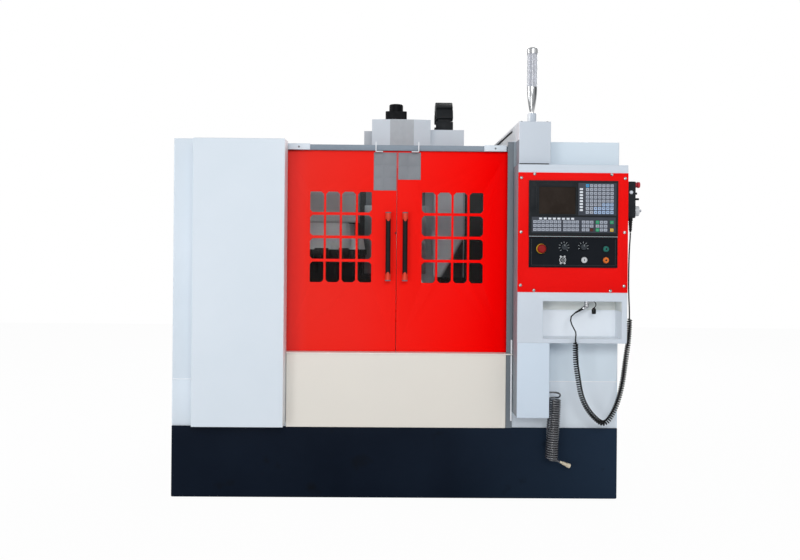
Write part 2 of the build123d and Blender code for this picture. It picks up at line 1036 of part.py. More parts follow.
screen_x = (screen_left, screen_left + screen_width)
screen_z = (screen_bottom, screen_bottom + screen_height)
pad_x = (pad_left, pad_left + pad_width)
pad_z = (pad_bottom, pad_bottom + pad_height)
strip_x = (strip_left, strip_left + strip_width)
strip_z = (strip_bottom, strip_bottom + strip_height)
bezel_face = cnc_face - bezel_rise
with BuildPart() as cnc_unit:
    block(cnc_x, (cnc_face, panel_face), cnc_z)
    fillet(cnc_unit.faces().sort_by(Axis.Y)[0].edges(), unit_edge)
    block(
        (bezel_left, bezel_left + bezel_width),
        (bezel_face, cnc_face),
        (bezel_bottom, bezel_bottom + bezel_height),
    )
    fillet(cnc_unit.faces().sort_by(Axis.Y)[0].edges(), unit_edge)
    block(
        grown(cnc_x, -unit_rear_margin),
        (panel_face, panel_face + unit_rear_depth),
        grown(cnc_z, -unit_rear_margin),
    )
    block(screen_x, (bezel_face - overrun, cnc_face + pad_recess), screen_z, Mode.SUBTRACT)
    block(pad_x, (cnc_face - overrun, cnc_face + pad_recess), pad_z, Mode.SUBTRACT)
    block(strip_x, (cnc_face - overrun, cnc_face + pad_recess), strip_z, Mode.SUBTRACT)
pieces["cnc_unit"] = cnc_unit

with BuildPart() as cnc_screen:
    block(
        grown(screen_x, -screen_fit),
        (cnc_face + pad_recess - screen_thickness, cnc_face + pad_recess),
        grown(screen_z, -screen_fit),
    )
pieces["cnc_screen"] = cnc_screen

pad_face = cnc_face + pad_recess - pad_thickness
with BuildPart() as cnc_keypad:
    block(grown(pad_x, -screen_fit), (pad_face, cnc_face + pad_recess), grown(pad_z, -screen_fit))
    with BuildSketch(facing_front(sum(pad_x) / 2, pad_face, sum(pad_z) / 2)):
        with GridLocations(key_pitch_x, key_pitch_z, pad_columns, pad_rows):
            Rectangle(key_width, key_height)
    extrude(amount=key_rise)
    block(
        grown(strip_x, -screen_fit), (pad_face, cnc_face + pad_recess), grown(strip_z, -screen_fit)
    )
    with BuildSketch(facing_front(sum(strip_x) / 2, pad_face, sum(strip_z) / 2)):
        with GridLocations(strip_key_pitch_x, strip_key_pitch_z, strip_columns, strip_rows):
            Rectangle(strip_key_width, strip_key_height)
    extrude(amount=key_rise)
pieces["cnc_keypad"] = cnc_keypad


# Operator panel and its controls
def on_panel(x, z, depth=0):
    """A plane on the operator panel's face, or a depth in front of it."""
    return facing_front(x, operator_face - depth, z)


with BuildPart() as operator_panel:
    block(operator_x, (operator_face - operator_sink, panel_face), operator_z)
    fillet(operator_panel.faces().sort_by(Axis.Y)[0].edges(), post_groove)
    block(
        grown(operator_x, -operator_rim),
        (operator_face - operator_sink - overrun, operator_face),
        grown(operator_z, -operator_rim),
        Mode.SUBTRACT,
    )
    with BuildSketch(on_panel(stop_switch_x, stop_switch_z)):
        Circle(stop_collar_radius)
    extrude(amount=stop_collar_height)
    for ring_x, ring_z in (
        (button_x, start_button_z),
        (button_x, lower_row_z),
        (key_switch_x, lower_row_z),
    ):
        with BuildSketch(on_panel(ring_x, ring_z)):
            Circle(ring_radius)
        extrude(amount=ring_height)
        with BuildSketch(on_panel(ring_x, ring_z, ring_height + overrun)):
            Circle(ring_hole_radius)
        extrude(amount=-ring_height - operator_thickness - 2 * overrun, mode=Mode.SUBTRACT)
    with BuildSketch(on_panel(port_x, lower_row_z)):
        RectangleRounded(port_flange, port_flange, port_radius / 2)
    extrude(amount=port_thickness)
    with BuildSketch(on_panel(port_x, lower_row_z, port_thickness)):
        Circle(port_radius)
    extrude(amount=port_depth)
    with BuildSketch(on_panel(port_x, lower_row_z, port_thickness + port_depth)):
        Circle(port_hole_radius)
    extrude(amount=-port_hole_depth, mode=Mode.SUBTRACT)
    with BuildSketch(on_panel(stop_switch_x, stop_switch_z, stop_collar_height + overrun)):
        Circle(stop_stem_radius + clearance)
    extrude(amount=-stop_collar_height - operator_thickness - 2 * overrun, mode=Mode.SUBTRACT)
    for knob_x in (feed_knob_x, spindle_knob_x):
        with BuildSketch(on_panel(knob_x, knob_z, overrun)):
            Circle(knob_shaft_radius + clearance)
        extrude(amount=-operator_thickness - 2 * overrun, mode=Mode.SUBTRACT)
pieces["operator_panel"] = operator_panel

head_back = stop_collar_height + stop_travel + stop_spare
with BuildPart() as e_stop_button:
    with BuildSketch(on_panel(stop_switch_x, stop_switch_z, -stem_depth)):
        Circle(stop_stem_radius)
    extrude(amount=stem_depth + head_back)
    with BuildSketch(on_panel(stop_switch_x, stop_switch_z, head_back)):
        Circle(stop_head_radius)
    extrude(amount=stop_head_height)
    fillet(e_stop_button.faces().sort_by(Axis.Y)[0].edges(), stop_head_dome)
pieces["e_stop_button"] = e_stop_button


def plunger(z):
    """A round push button in its ring."""
    with BuildPart() as button:
        with BuildSketch(on_panel(button_x, z, -stem_depth)):
            Circle(ring_hole_radius - clearance)
        extrude(amount=stem_depth + ring_height + plunger_proud)
        fillet(button.faces().sort_by(Axis.Y)[0].edges(), plunger_edge)
    return button


pieces["start_button"] = plunger(start_button_z)
pieces["stop_button"] = plunger(lower_row_z)


def selector_knob(x):
    """A turning knob with a pointer ridge, on its shaft."""
    with BuildPart() as knob:
        with BuildSketch(on_panel(x, knob_z, clearance)):
            Circle(knob_radius)
        extrude(amount=knob_height)
        fillet(knob.faces().sort_by(Axis.Y)[0].edges(), knob_edge)
        with BuildSketch(on_panel(x, knob_z, clearance + knob_height)):
            with Locations((0, knob_radius / 2)):
                Rectangle(pointer_width, knob_radius - knob_edge)
        extrude(amount=pointer_rise)
        with BuildSketch(on_panel(x, knob_z, -stem_depth)):
            Circle(knob_shaft_radius)
        extrude(amount=stem_depth + clearance)
    return knob


pieces["feed_knob"] = selector_knob(feed_knob_x)
pieces["spindle_knob"] = selector_knob(spindle_knob_x)

with BuildPart() as key_switch:
    with BuildSketch(on_panel(key_switch_x, lower_row_z, -stem_depth)):
        Circle(ring_hole_radius - clearance)
    extrude(amount=stem_depth + ring_height)
    with BuildSketch(on_panel(key_switch_x, lower_row_z, ring_height)):
        Rectangle(key_slot_width, key_slot_length)
    extrude(amount=-key_slot_depth, mode=Mode.SUBTRACT)
pieces["key_switch"] = key_switch

# Cable trunk and signal lamp
trunk_x = grown(lamp_box_x, -trunk_inset)
lamp_box_rear = lamp_box_front + lamp_box_depth
lid_bottom = trunk_top - lid_thickness
with BuildPart() as cable_trunk:
    with BuildSketch(Plane.YZ.offset(lamp_box_x[0])):
        with BuildLine():
            Polyline(
                (lamp_box_front, box_z[1]),
                (wall_front, box_z[1]),
                (wall_front, wall_top),
                (lamp_box_rear, wall_top),
                (lamp_box_rear, trunk_top),
                (lamp_box_front, trunk_top),
                close=True,
            )
        make_face()
    extrude(amount=lamp_box_width)
    fillet(cable_trunk.faces().sort_by(Axis.Y)[0].edges(), edge)
    block(
        grown(lamp_box_x, -sheet),
        (lamp_box_front + sheet, wall_front - sheet),
        (box_z[1] + sheet, trunk_top - sheet),
        Mode.SUBTRACT,
    )
    block(
        trunk_x,
        (lamp_box_rear, cabinet_front),
        (wall_top + trunk_lift, lid_bottom - lid_groove),
    )
    block(
        grown(trunk_x, -lid_groove_inset),
        (lamp_box_rear, cabinet_front),
        (lid_bottom - lid_groove, lid_bottom),
    )
    block(lamp_box_x, (lamp_box_rear, cabinet_front), (lid_bottom, trunk_top))
    block(
        grown(trunk_x, -sheet),
        (lamp_box_rear + sheet, cabinet_front - sheet),
        (wall_top + trunk_lift + sheet, lid_bottom - lid_groove - sheet),
        Mode.SUBTRACT,
    )
    with BuildSketch(Plane((lamp_x, lamp_y, trunk_top))):
        Circle(collar_radius)
    extrude(amount=collar_height)
    fillet(cable_trunk.faces().sort_by(Axis.Z)[-1].edges(), edge)
pieces["cable_trunk"] = cable_trunk

collar_top = trunk_top + collar_height
lens_bottom = collar_top + stem_height + cone_height
lens_top = lens_bottom + lens_height
with BuildPart() as lamp_metalwork:
    with BuildSketch(Plane((lamp_x, lamp_y, 0), x_dir=(1, 0, 0), z_dir=(0, -1, 0))):
        with BuildLine():
            ThreePointArc(
                (stem_radius, collar_top + stem_height),
                (cone_middle_radius, collar_top + stem_height + cone_height / 2),
                (lens_radius, lens_bottom),
            )
            Polyline(
                (lens_radius, lens_bottom),
                (0, lens_bottom),
                (0, collar_top),
                (stem_radius, collar_top),
                (stem_radius, collar_top + stem_height),
            )
        make_face()
    revolve(axis=Axis((lamp_x, lamp_y, 0), (0, 0, 1)))
    with BuildSketch(Plane((lamp_x, lamp_y, lens_top))):
        Circle(cap_radius)
    extrude(amount=cap_height)
    fillet(lamp_metalwork.faces().sort_by(Axis.Z)[-1].edges(), cap_dome)
pieces["lamp_metalwork"] = lamp_metalwork

with BuildPart() as lamp_lens:
    with BuildSketch(Plane((lamp_x, lamp_y, lens_bottom))):
        Circle(lens_radius)
    extrude(amount=lens_height)
pieces["lamp_lens"] = lamp_lens

# Service box and air hose
with BuildPart() as service_box:
    block(service_x, box_y, service_z)
    fillet(service_box.edges().filter_by(Axis.Z).group_by(Axis.Y)[0], edge)
    hollow_from_back(service_x, box_y, service_z, cover_sheet)
    with BuildSketch(facing_right(service_x[1], hose_y, gland_z)):
        Circle(gland_radius)
    extrude(amount=gland_length)
pieces["service_box"] = service_box

hose_start = service_x[1] + gland_length
upper_tail = [
    (hose_start, hose_y, gland_z),
    (hose_start + hose_exit_run, hose_y, gland_z),
    (hose_drop_x, hose_y, hose_coil_top + hose_turn_height),
    (hose_drop_x, hose_y, hose_coil_top),
]
coupler_start = (
    hose_tail_x + coupler_run_x,
    hose_y,
    hose_coil_bottom - hose_tail_drop - coupler_drop,
)
lower_tail = [
    (hose_tail_x, hose_y, hose_coil_bottom),
    (hose_tail_x, hose_y, hose_coil_bottom - hose_tail_drop),
    coupler_start,
]
upper_tube = cord_tube(upper_tail, hose_radius, "air hose upper tail")
lower_tube = cord_tube(lower_tail, hose_radius, "air hose lower tail")
with BuildPart() as air_hose_tails:
    add(upper_tube.part)
    add(lower_tube.part)
pieces["air_hose_tails"] = air_hose_tails

with BuildPart() as air_hose_coil:
    with BuildSketch(Plane((hose_coil_bottom_x, hose_y, hose_coil_bottom))):
        Circle(hose_coil_radius)
    with BuildSketch(Plane((hose_coil_top_x, hose_y, hose_coil_top))):
        Circle(hose_coil_radius)
    loft()
pieces["air_hose_coil"] = air_hose_coil

coupler_lengths = (coupler_neck_length, coupler_body_length, coupler_sleeve_length)
coupler_radii = (coupler_neck_radius, coupler_body_radius, coupler_sleeve_radius)
with BuildPart() as air_coupler:
    along = Vector(coupler_run_x, 0, -coupler_drop).normalized()
    reached = 0
    for length, radius in zip(coupler_lengths, coupler_radii):
        with BuildSketch(Plane(origin=Vector(*coupler_start) + along * reached, z_dir=along)):
            Circle(radius)
        extrude(amount=length)
        reached += length
    with BuildSketch(Plane(origin=Vector(*coupler_start) + along * reached, z_dir=along)):
        Circle(coupler_bore_radius)
    extrude(amount=-coupler_bore_depth, mode=Mode.SUBTRACT)
pieces["air_coupler"] = air_coupler

# Pendant, its controls and its cord
with BuildPart() as pendant_body:
    block(pendant_x, around(pendant_y, pendant_width / 2), pendant_z)
    fillet(pendant_body.edges().filter_by(Axis.X), pendant_corner)
    fillet(pendant_body.faces().sort_by(Axis.X)[-1].edges(), edge)
    for knob_z_place, knob_proud in (
        (pendant_knob_upper_z, pendant_knob_upper_height),
        (pendant_knob_lower_z, pendant_knob_lower_height),
    ):
        with BuildSketch(facing_right(pendant_face, pendant_y, knob_z_place)):
            Circle(pendant_knob_radius)
        extrude(amount=knob_proud)
    with BuildSketch(facing_right(pendant_face, pendant_y, pendant_stop_z)):
        Circle(pendant_collar_radius)
    extrude(amount=pendant_collar_height)
    with BuildSketch(facing_front(enable_x, pendant_y - pendant_width / 2, enable_z)):
        Circle(enable_radius)
    extrude(amount=enable_height)
    with BuildSketch(Plane((cord_x, pendant_y, pendant_bottom))):
        Circle(relief_top_radius)
    with BuildSketch(Plane((cord_x, pendant_y, pendant_bottom - relief_length))):
        Circle(relief_bottom_radius)
    loft()
    with BuildSketch(facing_right(pendant_face + overrun, pendant_y, wheel_z)):
        Circle(wheel_shaft_radius + clearance)
    extrude(amount=-overrun - wheel_shaft_depth - clearance, mode=Mode.SUBTRACT)
    pendant_collar_face = pendant_face + pendant_collar_height
    with BuildSketch(facing_right(pendant_collar_face + overrun, pendant_y, pendant_stop_z)):
        Circle(pendant_stop_stem + clearance)
    extrude(
        amount=-overrun
        - pendant_collar_height
        - wheel_shaft_depth
        - pendant_stop_travel
        - clearance,
        mode=Mode.SUBTRACT,
    )
pieces["pendant_body"] = pendant_body

wheel_face = pendant_face + wheel_gap
with BuildPart() as pendant_wheel:
    with BuildSketch(facing_right(wheel_face, pendant_y, wheel_z)):
        Circle(wheel_radius)
    extrude(amount=wheel_thickness)
    fillet(pendant_wheel.faces().sort_by(Axis.X)[-1].edges(), wheel_edge)
    with BuildSketch(facing_right(pendant_face - wheel_shaft_depth, pendant_y, wheel_z)):
        Circle(wheel_shaft_radius)
    extrude(amount=wheel_shaft_depth + wheel_gap)
    with BuildSketch(
        facing_right(wheel_face + wheel_thickness, pendant_y - crank_offset, wheel_z)
    ):
        Circle(crank_radius)
    extrude(amount=crank_length)
pieces["pendant_wheel"] = pendant_wheel

pendant_stop_back = pendant_collar_face + pendant_stop_travel + stop_spare
with BuildPart() as pendant_stop:
    with BuildSketch(facing_right(pendant_stop_back, pendant_y, pendant_stop_z)):
        Circle(pendant_stop_radius)
    extrude(amount=pendant_stop_height)
    fillet(pendant_stop.faces().sort_by(Axis.X)[-1].edges(), pendant_stop_dome)
    with BuildSketch(facing_right(pendant_face - wheel_shaft_depth, pendant_y, pendant_stop_z)):
        Circle(pendant_stop_stem)
    extrude(
        amount=wheel_shaft_depth + pendant_collar_height + pendant_stop_travel + stop_spare
    )
pieces["pendant_stop"] = pendant_stop

with BuildPart() as pendant_socket:
    with BuildSketch(Plane((socket_x, socket_y, recess_z[1] - socket_height))):
        Circle(socket_radius)
    extrude(amount=socket_height)
pieces["pendant_socket"] = pendant_socket

plug_top = recess_z[1] - socket_height
boot_end = Vector(*lead_route[0])
plug_elbow = Vector(socket_x, socket_y, plug_top - plug_nut_height)
boot_way = (plug_elbow - boot_end).normalized()
boot_start = plug_elbow - boot_way * plug_length
with BuildPart() as pendant_plug:
    with BuildSketch(Plane(plug_elbow)):
        Circle(plug_nut_radius)
    extrude(amount=plug_nut_height)
    with Locations(plug_elbow):
        Sphere(plug_elbow_radius)
    with BuildSketch(Plane(origin=boot_start, z_dir=boot_way)):
        Circle(plug_radius)
    extrude(amount=plug_length)
    with BuildSketch(Plane(origin=boot_end, z_dir=boot_way)):
        Circle(boot_narrow_radius)
    with BuildSketch(Plane(origin=boot_start, z_dir=boot_way)):
        Circle(boot_wide_radius)
    loft()
pieces["pendant_plug"] = pendant_plug

lead_tube = cord_tube(lead_route, cord_radius, "pendant lead")
with BuildPart() as pendant_leads:
    add(lead_tube.part)
    with BuildSketch(Plane((cord_x, pendant_y, curl_top))):
        Circle(cord_radius)
    extrude(amount=pendant_bottom - relief_length - curl_top)
pieces["pendant_leads"] = pendant_leads
pieces["pendant_curl"] = cord_tube(curl_route, curl_radius, "pendant curl")

# Bed with its Y rails, screw and motor
y_screw_z = bed_top + y_screw_rise
with BuildPart() as bed_casting:
    with BuildSketch(Plane.XZ.offset(-bed_front - bed_length)):
        with BuildLine():
            Polyline(
                (-bed_half_width, base_height),
                (bed_half_width, base_height),
                (bed_half_width, base_height + bed_foot_height),
                (bed_top_half_width, base_height + bed_waist_height),
                (bed_top_half_width, bed_top),
                (-bed_top_half_width, bed_top),
                (-bed_top_half_width, base_height + bed_waist_height),
                (-bed_half_width, base_height + bed_foot_height),
                close=True,
            )
        make_face()
    extrude(amount=bed_length)
    for side in (-1, 1):
        block(
            around(side * y_rail_x, rail_width / 2),
            (y_rail_front, y_rail_front + y_rail_length),
            (bed_top, y_rail_top),
        )
    for bearing_y in (y_rail_front, y_rail_front + y_rail_length - bearing_length):
        block(
            around(0, bearing_half),
            (bearing_y, bearing_y + bearing_length),
            (bed_top, y_rail_top - clearance),
        )
    with BuildSketch(Plane.XZ.offset(-y_rail_front)):
        with Locations((0, y_screw_z)):
            Circle(y_screw_radius)
    extrude(amount=-y_rail_length)
    block(
        around(0, y_motor_size / 2),
        (bed_front - y_motor_length, bed_front),
        (bed_top - y_motor_size, bed_top),
    )
pieces["bed_casting"] = bed_casting


def rail_grooves(axis, places, rail, low, high, reach):
    """Cuts the grooves in which bearing blocks run on their rails."""
    for place in places:
        across = around(place, rail / 2 + clearance)
        if axis == "Y":
            block(across, reach, (low, high), Mode.SUBTRACT)
        else:
            block(reach, across, (low, high), Mode.SUBTRACT)


saddle_y = around(spindle_y, saddle_half_depth)
x_screw_z = saddle_top + x_screw_rise
with BuildPart() as saddle:
    block(around(0, saddle_half_width), saddle_y, (saddle_bottom, saddle_top))
    fillet(saddle.edges().filter_by(Axis.Z), saddle_edge)
    for side in (-1, 1):
        for block_y in (saddle_y[0] + block_length / 2, saddle_y[1] - block_length / 2):
            block(
                around(side * y_rail_x, block_half_width),
                around(block_y, block_length / 2),
                (saddle_bottom - block_grip, saddle_bottom),
            )
        block(
            around(0, saddle_half_width),
            around(spindle_y + side * x_rail_y, rail_width / 2),
            (saddle_top, x_rail_top),
        )
        block(
            towards(side, saddle_half_width - bearing_length, saddle_half_width),
            around(spindle_y, bearing_half),
            (saddle_top, x_rail_top),
        )
    rail_grooves(
        "Y",
        (-y_rail_x, y_rail_x),
        rail_width,
        saddle_bottom - block_grip - overrun,
        y_rail_top + clearance,
        grown(saddle_y, overrun),
    )
    block(
        around(0, nut_half),
        around(spindle_y, nut_half),
        (y_screw_z - y_screw_radius - clearance - nut_wall, saddle_bottom),
    )
    with BuildSketch(Plane.XZ.offset(-saddle_y[0] + overrun)):
        with Locations((0, y_screw_z)):
            Circle(y_screw_radius + clearance)
    extrude(amount=-2 * saddle_half_depth - 2 * overrun, mode=Mode.SUBTRACT)
    with BuildSketch(Plane.YZ.offset(-saddle_half_width)):
        with Locations((spindle_y, x_screw_z)):
            Circle(x_screw_radius)
    extrude(amount=2 * saddle_half_width)
    block(
        (saddle_half_width, saddle_half_width + x_motor_length),
        around(spindle_y, bearing_half),
        (x_rail_top - x_motor_drop, x_rail_top),
    )
pieces["saddle"] = saddle

with BuildPart() as y_way_cover:
    block(
        around(0, way_cover_half),
        (saddle_y[0] - way_cover_length, saddle_y[0]),
        (way_cover_top - way_cover_drop, way_cover_top),
    )
    block(
        around(0, way_cover_half - cover_sheet),
        grown((saddle_y[0] - way_cover_length, saddle_y[0]), overrun),
        (way_cover_top - way_cover_drop - overrun, way_cover_top - cover_sheet),
        Mode.SUBTRACT,
    )
pieces["y_way_cover"] = y_way_cover

table_y = around(spindle_y, table_half_width)
with BuildPart() as table:
    block(around(0, table_half_length), table_y, (table_bottom, table_top))
    fillet(table.edges().filter_by(Axis.Z), table_edge)
    for side in (-1, 1):
        for block_x in (-table_block_x, table_block_x):
            block(
                around(block_x, block_length / 2),
                around(spindle_y + side * x_rail_y, block_half_width),
                (x_rail_top - block_grip, table_bottom),
            )
    rail_grooves(
        "X",
        (spindle_y - x_rail_y, spindle_y + x_rail_y),
        rail_width,
        x_rail_top - block_grip - overrun,
        x_rail_top + clearance,
        around(0, table_half_length + overrun),
    )
    block(
        around(0, nut_half),
        around(spindle_y, nut_half),
        (x_screw_z - x_screw_radius - clearance - nut_wall, table_bottom),
    )
    with BuildSketch(Plane.YZ.offset(-table_half_length - overrun)):
        with Locations((spindle_y, x_screw_z)):
            Circle(x_screw_radius + clearance)
    extrude(amount=2 * table_half_length + 2 * overrun, mode=Mode.SUBTRACT)
    for slot in range(slot_count):
        slot_y = spindle_y + (slot - (slot_count - 1) / 2) * slot_pitch
        block(
            around(0, table_half_length + overrun),
            around(slot_y, slot_width / 2),
            (table_top - slot_neck, table_top + overrun),
            Mode.SUBTRACT,
        )
        block(
            around(0, table_half_length + overrun),
            around(slot_y, slot_foot_width / 2),
            (table_top - slot_neck - slot_foot_height, table_top - slot_neck),
            Mode.SUBTRACT,
        )
pieces["table"] = table

# Column with its Z rails, screw and chain trough
trough_x = (
    chain_x[0] - clearance - trough_sheet,
    chain_x[1] + trough_right_room + trough_sheet,
)
trough_y = around(chain_rear_y, trough_depth / 2)
with BuildPart() as column_casting:
    with BuildSketch(Plane.YZ.offset(-column_half_width)):
        with BuildLine():
            Polyline(
                (column_front, bed_top),
                (column_front + column_foot_depth, bed_top),
                (column_front + column_top_depth, column_top),
                (column_front, column_top),
                close=True,
            )
        make_face()
    extrude(amount=2 * column_half_width)
    fillet(column_casting.faces().sort_by(Axis.Z)[-1].edges(), column_edge)
    for side in (-1, 1):
        with BuildSketch(
            facing_right(side * column_half_width, column_pocket_y, column_pocket_z)
        ):
            RectangleRounded(column_pocket_width, column_pocket_height, column_pocket_edge)
        extrude(amount=-side * column_pocket_depth, mode=Mode.SUBTRACT)
        block(
            around(side * z_rail_x, rail_width / 2),
            (z_rail_front, column_front),
            (z_rail_bottom, z_rail_top),
        )
    block(
        around(0, z_bracket_half),
        (z_screw_y - z_bracket_half, column_front + z_bracket_half),
        (column_top, z_bracket_top),
    )
    block(
        around(0, bearing_half),
        (z_screw_y - bearing_half / 2, column_front),
        (z_rail_bottom - bearing_length, z_rail_bottom),
    )
    with BuildSketch(Plane((0, z_screw_y, z_rail_bottom))):
        Circle(z_screw_radius)
    extrude(amount=z_bracket_top - z_rail_bottom)
    block(trough_x, trough_y, (trough_bottom, trough_top))
    block(
        grown(trough_x, -trough_sheet),
        (trough_y[0] - overrun, trough_y[1] - trough_sheet),
        (trough_bottom - overrun, trough_top + overrun),
        Mode.SUBTRACT,
    )
    block(
        (trough_x[0], column_half_width),
        (trough_y[1], column_front),
        (trough_arm_bottom, trough_arm_bottom + trough_arm_height),
    )
pieces["column_casting"] = column_casting

with BuildPart() as z_motor:
    block(
        around(0, z_motor_size / 2),
        around(z_screw_y, z_motor_size / 2),
        (z_bracket_top, z_bracket_top + z_motor_height),
    )
    chamfer(z_motor.edges().filter_by(Axis.Z), z_motor_corner)
    with BuildSketch(Plane((0, z_screw_y, z_bracket_top + z_motor_height))):
        Circle(z_motor_cap_radius)
    extrude(amount=z_motor_cap_height)
    fillet(z_motor.faces().sort_by(Axis.Z)[-1].edges(), z_motor_cap_edge)
pieces["z_motor"] = z_motor

# Spindle head, spindle, covers and chain
head_plate_rear = head_plate_front + head_plate_thickness
with BuildPart() as spindle_head:
    with BuildSketch(Plane.XY.offset(head_bottom)) as head_section:
        with Locations((0, (head_front + head_plate_front) / 2)):
            Rectangle(2 * head_half_width, head_plate_front - head_front)
        fillet(head_section.vertices().group_by(Axis.Y)[0], head_front_radius)
    extrude(amount=head_top - head_bottom)
    chamfer(spindle_head.faces().sort_by(Axis.Z)[0].edges(), head_chin)
    with BuildSketch(Plane((0, spindle_y, nose_bottom))):
        Circle(nose_radius)
    extrude(amount=nose_height)
    block(
        around(0, head_plate_half), (head_plate_front, head_plate_rear), (head_bottom, head_top)
    )
    for side in (-1, 1):
        for block_z in (head_bottom + z_block_length / 2, head_top - z_block_length / 2):
            block(
                around(side * z_rail_x, block_half_width),
                (head_plate_rear, z_rail_front + block_grip),
                around(block_z, z_block_length / 2),
            )
        block(
            around(side * z_rail_x, rail_width / 2 + clearance),
            (z_rail_front - clearance, z_rail_front + block_grip + overrun),
            grown((head_bottom, head_top), overrun),
            Mode.SUBTRACT,
        )
    block(
        around(0, nut_half),
        (head_plate_rear, z_screw_y + nut_half),
        around((head_bottom + head_top) / 2, nut_half),
    )
    with BuildSketch(Plane((0, z_screw_y, head_bottom - overrun))):
        Circle(z_screw_radius + clearance)
    extrude(amount=head_top - head_bottom + 2 * overrun, mode=Mode.SUBTRACT)
    block(
        around(0, motor_half),
        around(motor_y, motor_half),
        (head_top, head_top + motor_height),
    )
    fillet(
        spindle_head.edges().filter_by(Axis.Z).filter_by_position(
            Axis.Z, head_top + edge, head_top + motor_height
        ),
        motor_corner,
    )
    with BuildSketch(Plane((0, spindle_y, nose_bottom - overrun))):
        Circle(spindle_bore_radius)
    extrude(amount=spindle_height + overrun, mode=Mode.SUBTRACT)
pieces["spindle_head"] = spindle_head

spindle_shaft_radius = spindle_bore_radius - spindle_fit
with BuildPart() as spindle:
    with BuildSketch(Plane((0, spindle_y, 0), x_dir=(1, 0, 0), z_dir=(0, -1, 0))):
        with BuildLine():
            Polyline(
                (taper_mouth_radius, spindle_bottom),
                (spindle_nose_radius, spindle_bottom),
                (spindle_nose_radius, nose_bottom - clearance),
                (spindle_shaft_radius, nose_bottom - clearance),
                (spindle_shaft_radius, nose_bottom + spindle_height - edge),
                (0, nose_bottom + spindle_height - edge),
                (0, spindle_bottom + taper_depth),
                (taper_end_radius, spindle_bottom + taper_depth),
                close=True,
            )
        make_face()
    revolve(axis=Axis((0, spindle_y, 0), (0, 0, 1)))
pieces["spindle"] = spindle

pod_x = (head_cover_right, head_cover_right + right_pod_width)
with BuildPart() as head_cover:
    with BuildSketch(Plane.XY.offset(head_cover_bottom)):
        with BuildLine():
            Polyline(
                (head_cover_left, head_cover_rear),
                (head_cover_left, head_cover_front + head_cover_shoulder),
                (head_facet_left, head_cover_front),
                (head_facet_right, head_cover_front),
                (head_cover_right, head_cover_front + head_cover_shoulder),
                (head_cover_right, head_cover_rear),
                close=True,
            )
        make_face()
    extrude(amount=head_cover_top - head_cover_bottom)
    offset(
        amount=-head_cover_sheet,
        openings=[
            head_cover.faces().sort_by(Axis.Z)[0],
            head_cover.faces().sort_by(Axis.Y)[-1],
        ],
    )
    block(
        (head_cover_left - left_pod_width, head_cover_left),
        (left_pod_front, left_pod_rear),
        (left_pod_bottom, left_pod_top),
    )
    block(pod_x, (right_pod_front, right_pod_rear), (right_pod_bottom, right_pod_top))
    block(
        (pod_x[0], pod_x[1] - head_cover_sheet),
        (right_pod_front + head_cover_sheet, right_pod_rear - head_cover_sheet),
        (right_pod_bottom - overrun, right_pod_top - head_cover_sheet),
        Mode.SUBTRACT,
    )
    block(
        grown(chain_x, pan_gap),
        around(chain_front_y, chain_thickness / 2 + pan_gap),
        (right_pod_top - overrun, right_pod_top + overrun),
        Mode.SUBTRACT,
    )
    block(
        (head_cover_left, -head_half_width),
        around(bracket_y, bracket_length / 2),
        around(bracket_z, bracket_height / 2),
    )
    block(
        (head_half_width, head_cover_right),
        around(bracket_y, bracket_length / 2),
        around(bracket_z, bracket_height / 2),
    )
pieces["head_cover"] = head_cover

with BuildPart() as z_way_plate:
    block(
        around(0, way_plate_half),
        (head_plate_front, head_plate_front + way_plate_thickness),
        (head_bottom - way_plate_height, head_bottom),
    )
pieces["z_way_plate"] = z_way_plate

link_length = link_pitch - link_gap
chain_mid_x = sum(chain_x) / 2
chain_mid_y = (chain_front_y + chain_rear_y) / 2
leg_links = int((chain_centre_z - chain_leg_bottom) / link_pitch)
with BuildPart() as drag_chain:
    with BuildLine() as chain_path:
        Line(
            (chain_mid_x, chain_front_y, chain_leg_bottom),
            (chain_mid_x, chain_front_y, chain_centre_z),
        )
        ThreePointArc(
            (chain_mid_x, chain_front_y, chain_centre_z),
            (chain_mid_x, chain_mid_y, chain_centre_z + chain_radius),
            (chain_mid_x, chain_rear_y, chain_centre_z),
        )
        Line(
            (chain_mid_x, chain_rear_y, chain_centre_z),
            (chain_mid_x, chain_rear_y, chain_leg_bottom),
        )
    with BuildSketch(Plane((chain_mid_x, chain_front_y, chain_leg_bottom))):
        Rectangle(chain_width - 2 * web_inset, web_thickness)
    sweep()
    for leg_y in (chain_front_y, chain_rear_y):
        for link in range(leg_links):
            block(
                chain_x,
                around(leg_y, chain_thickness / 2),
                around(chain_leg_bottom + link_length / 2 + link * link_pitch, link_length / 2),
            )
    for link in range(arch_links):
        turn = 180 * (link + 1 / 2) / arch_links
        link_plane = Plane(
            origin=(chain_mid_x, chain_mid_y, chain_centre_z), x_dir=(1, 0, 0), z_dir=(0, 0, 1)
        ).rotated((90 - turn, 0, 0))
        with BuildSketch(link_plane.offset(chain_radius - chain_thickness / 2)):
            Rectangle(chain_width, link_length)
        extrude(amount=chain_thickness)
pieces["drag_chain"] = drag_chain

# Tool magazine
with BuildPart() as magazine_housing:
    block(
        (housing_left, housing_right), (housing_front, housing_rear), (housing_bottom, housing_top)
    )
    fillet(magazine_housing.edges().filter_by(Axis.Z), housing_edge)
    with BuildSketch(Plane.XY.offset(arm_bottom)):
        with BuildLine():
            Polyline(
                (-column_half_width, arm_front),
                (-column_half_width, arm_rear),
                (-arm_outer, arm_rear),
                (-arm_outer, housing_rear),
                (-arm_inner, housing_rear),
                (-arm_inner, arm_front),
                close=True,
            )
        make_face()
    extrude(amount=arm_top - arm_bottom)
pieces["magazine_housing"] = magazine_housing

with BuildPart() as magazine_carriage:
    block(
        around(magazine_x, carriage_half_length),
        around(spindle_y, carriage_half_width),
        (carriage_bottom, carriage_bottom + carriage_thickness),
    )
pieces["magazine_carriage"] = magazine_carriage

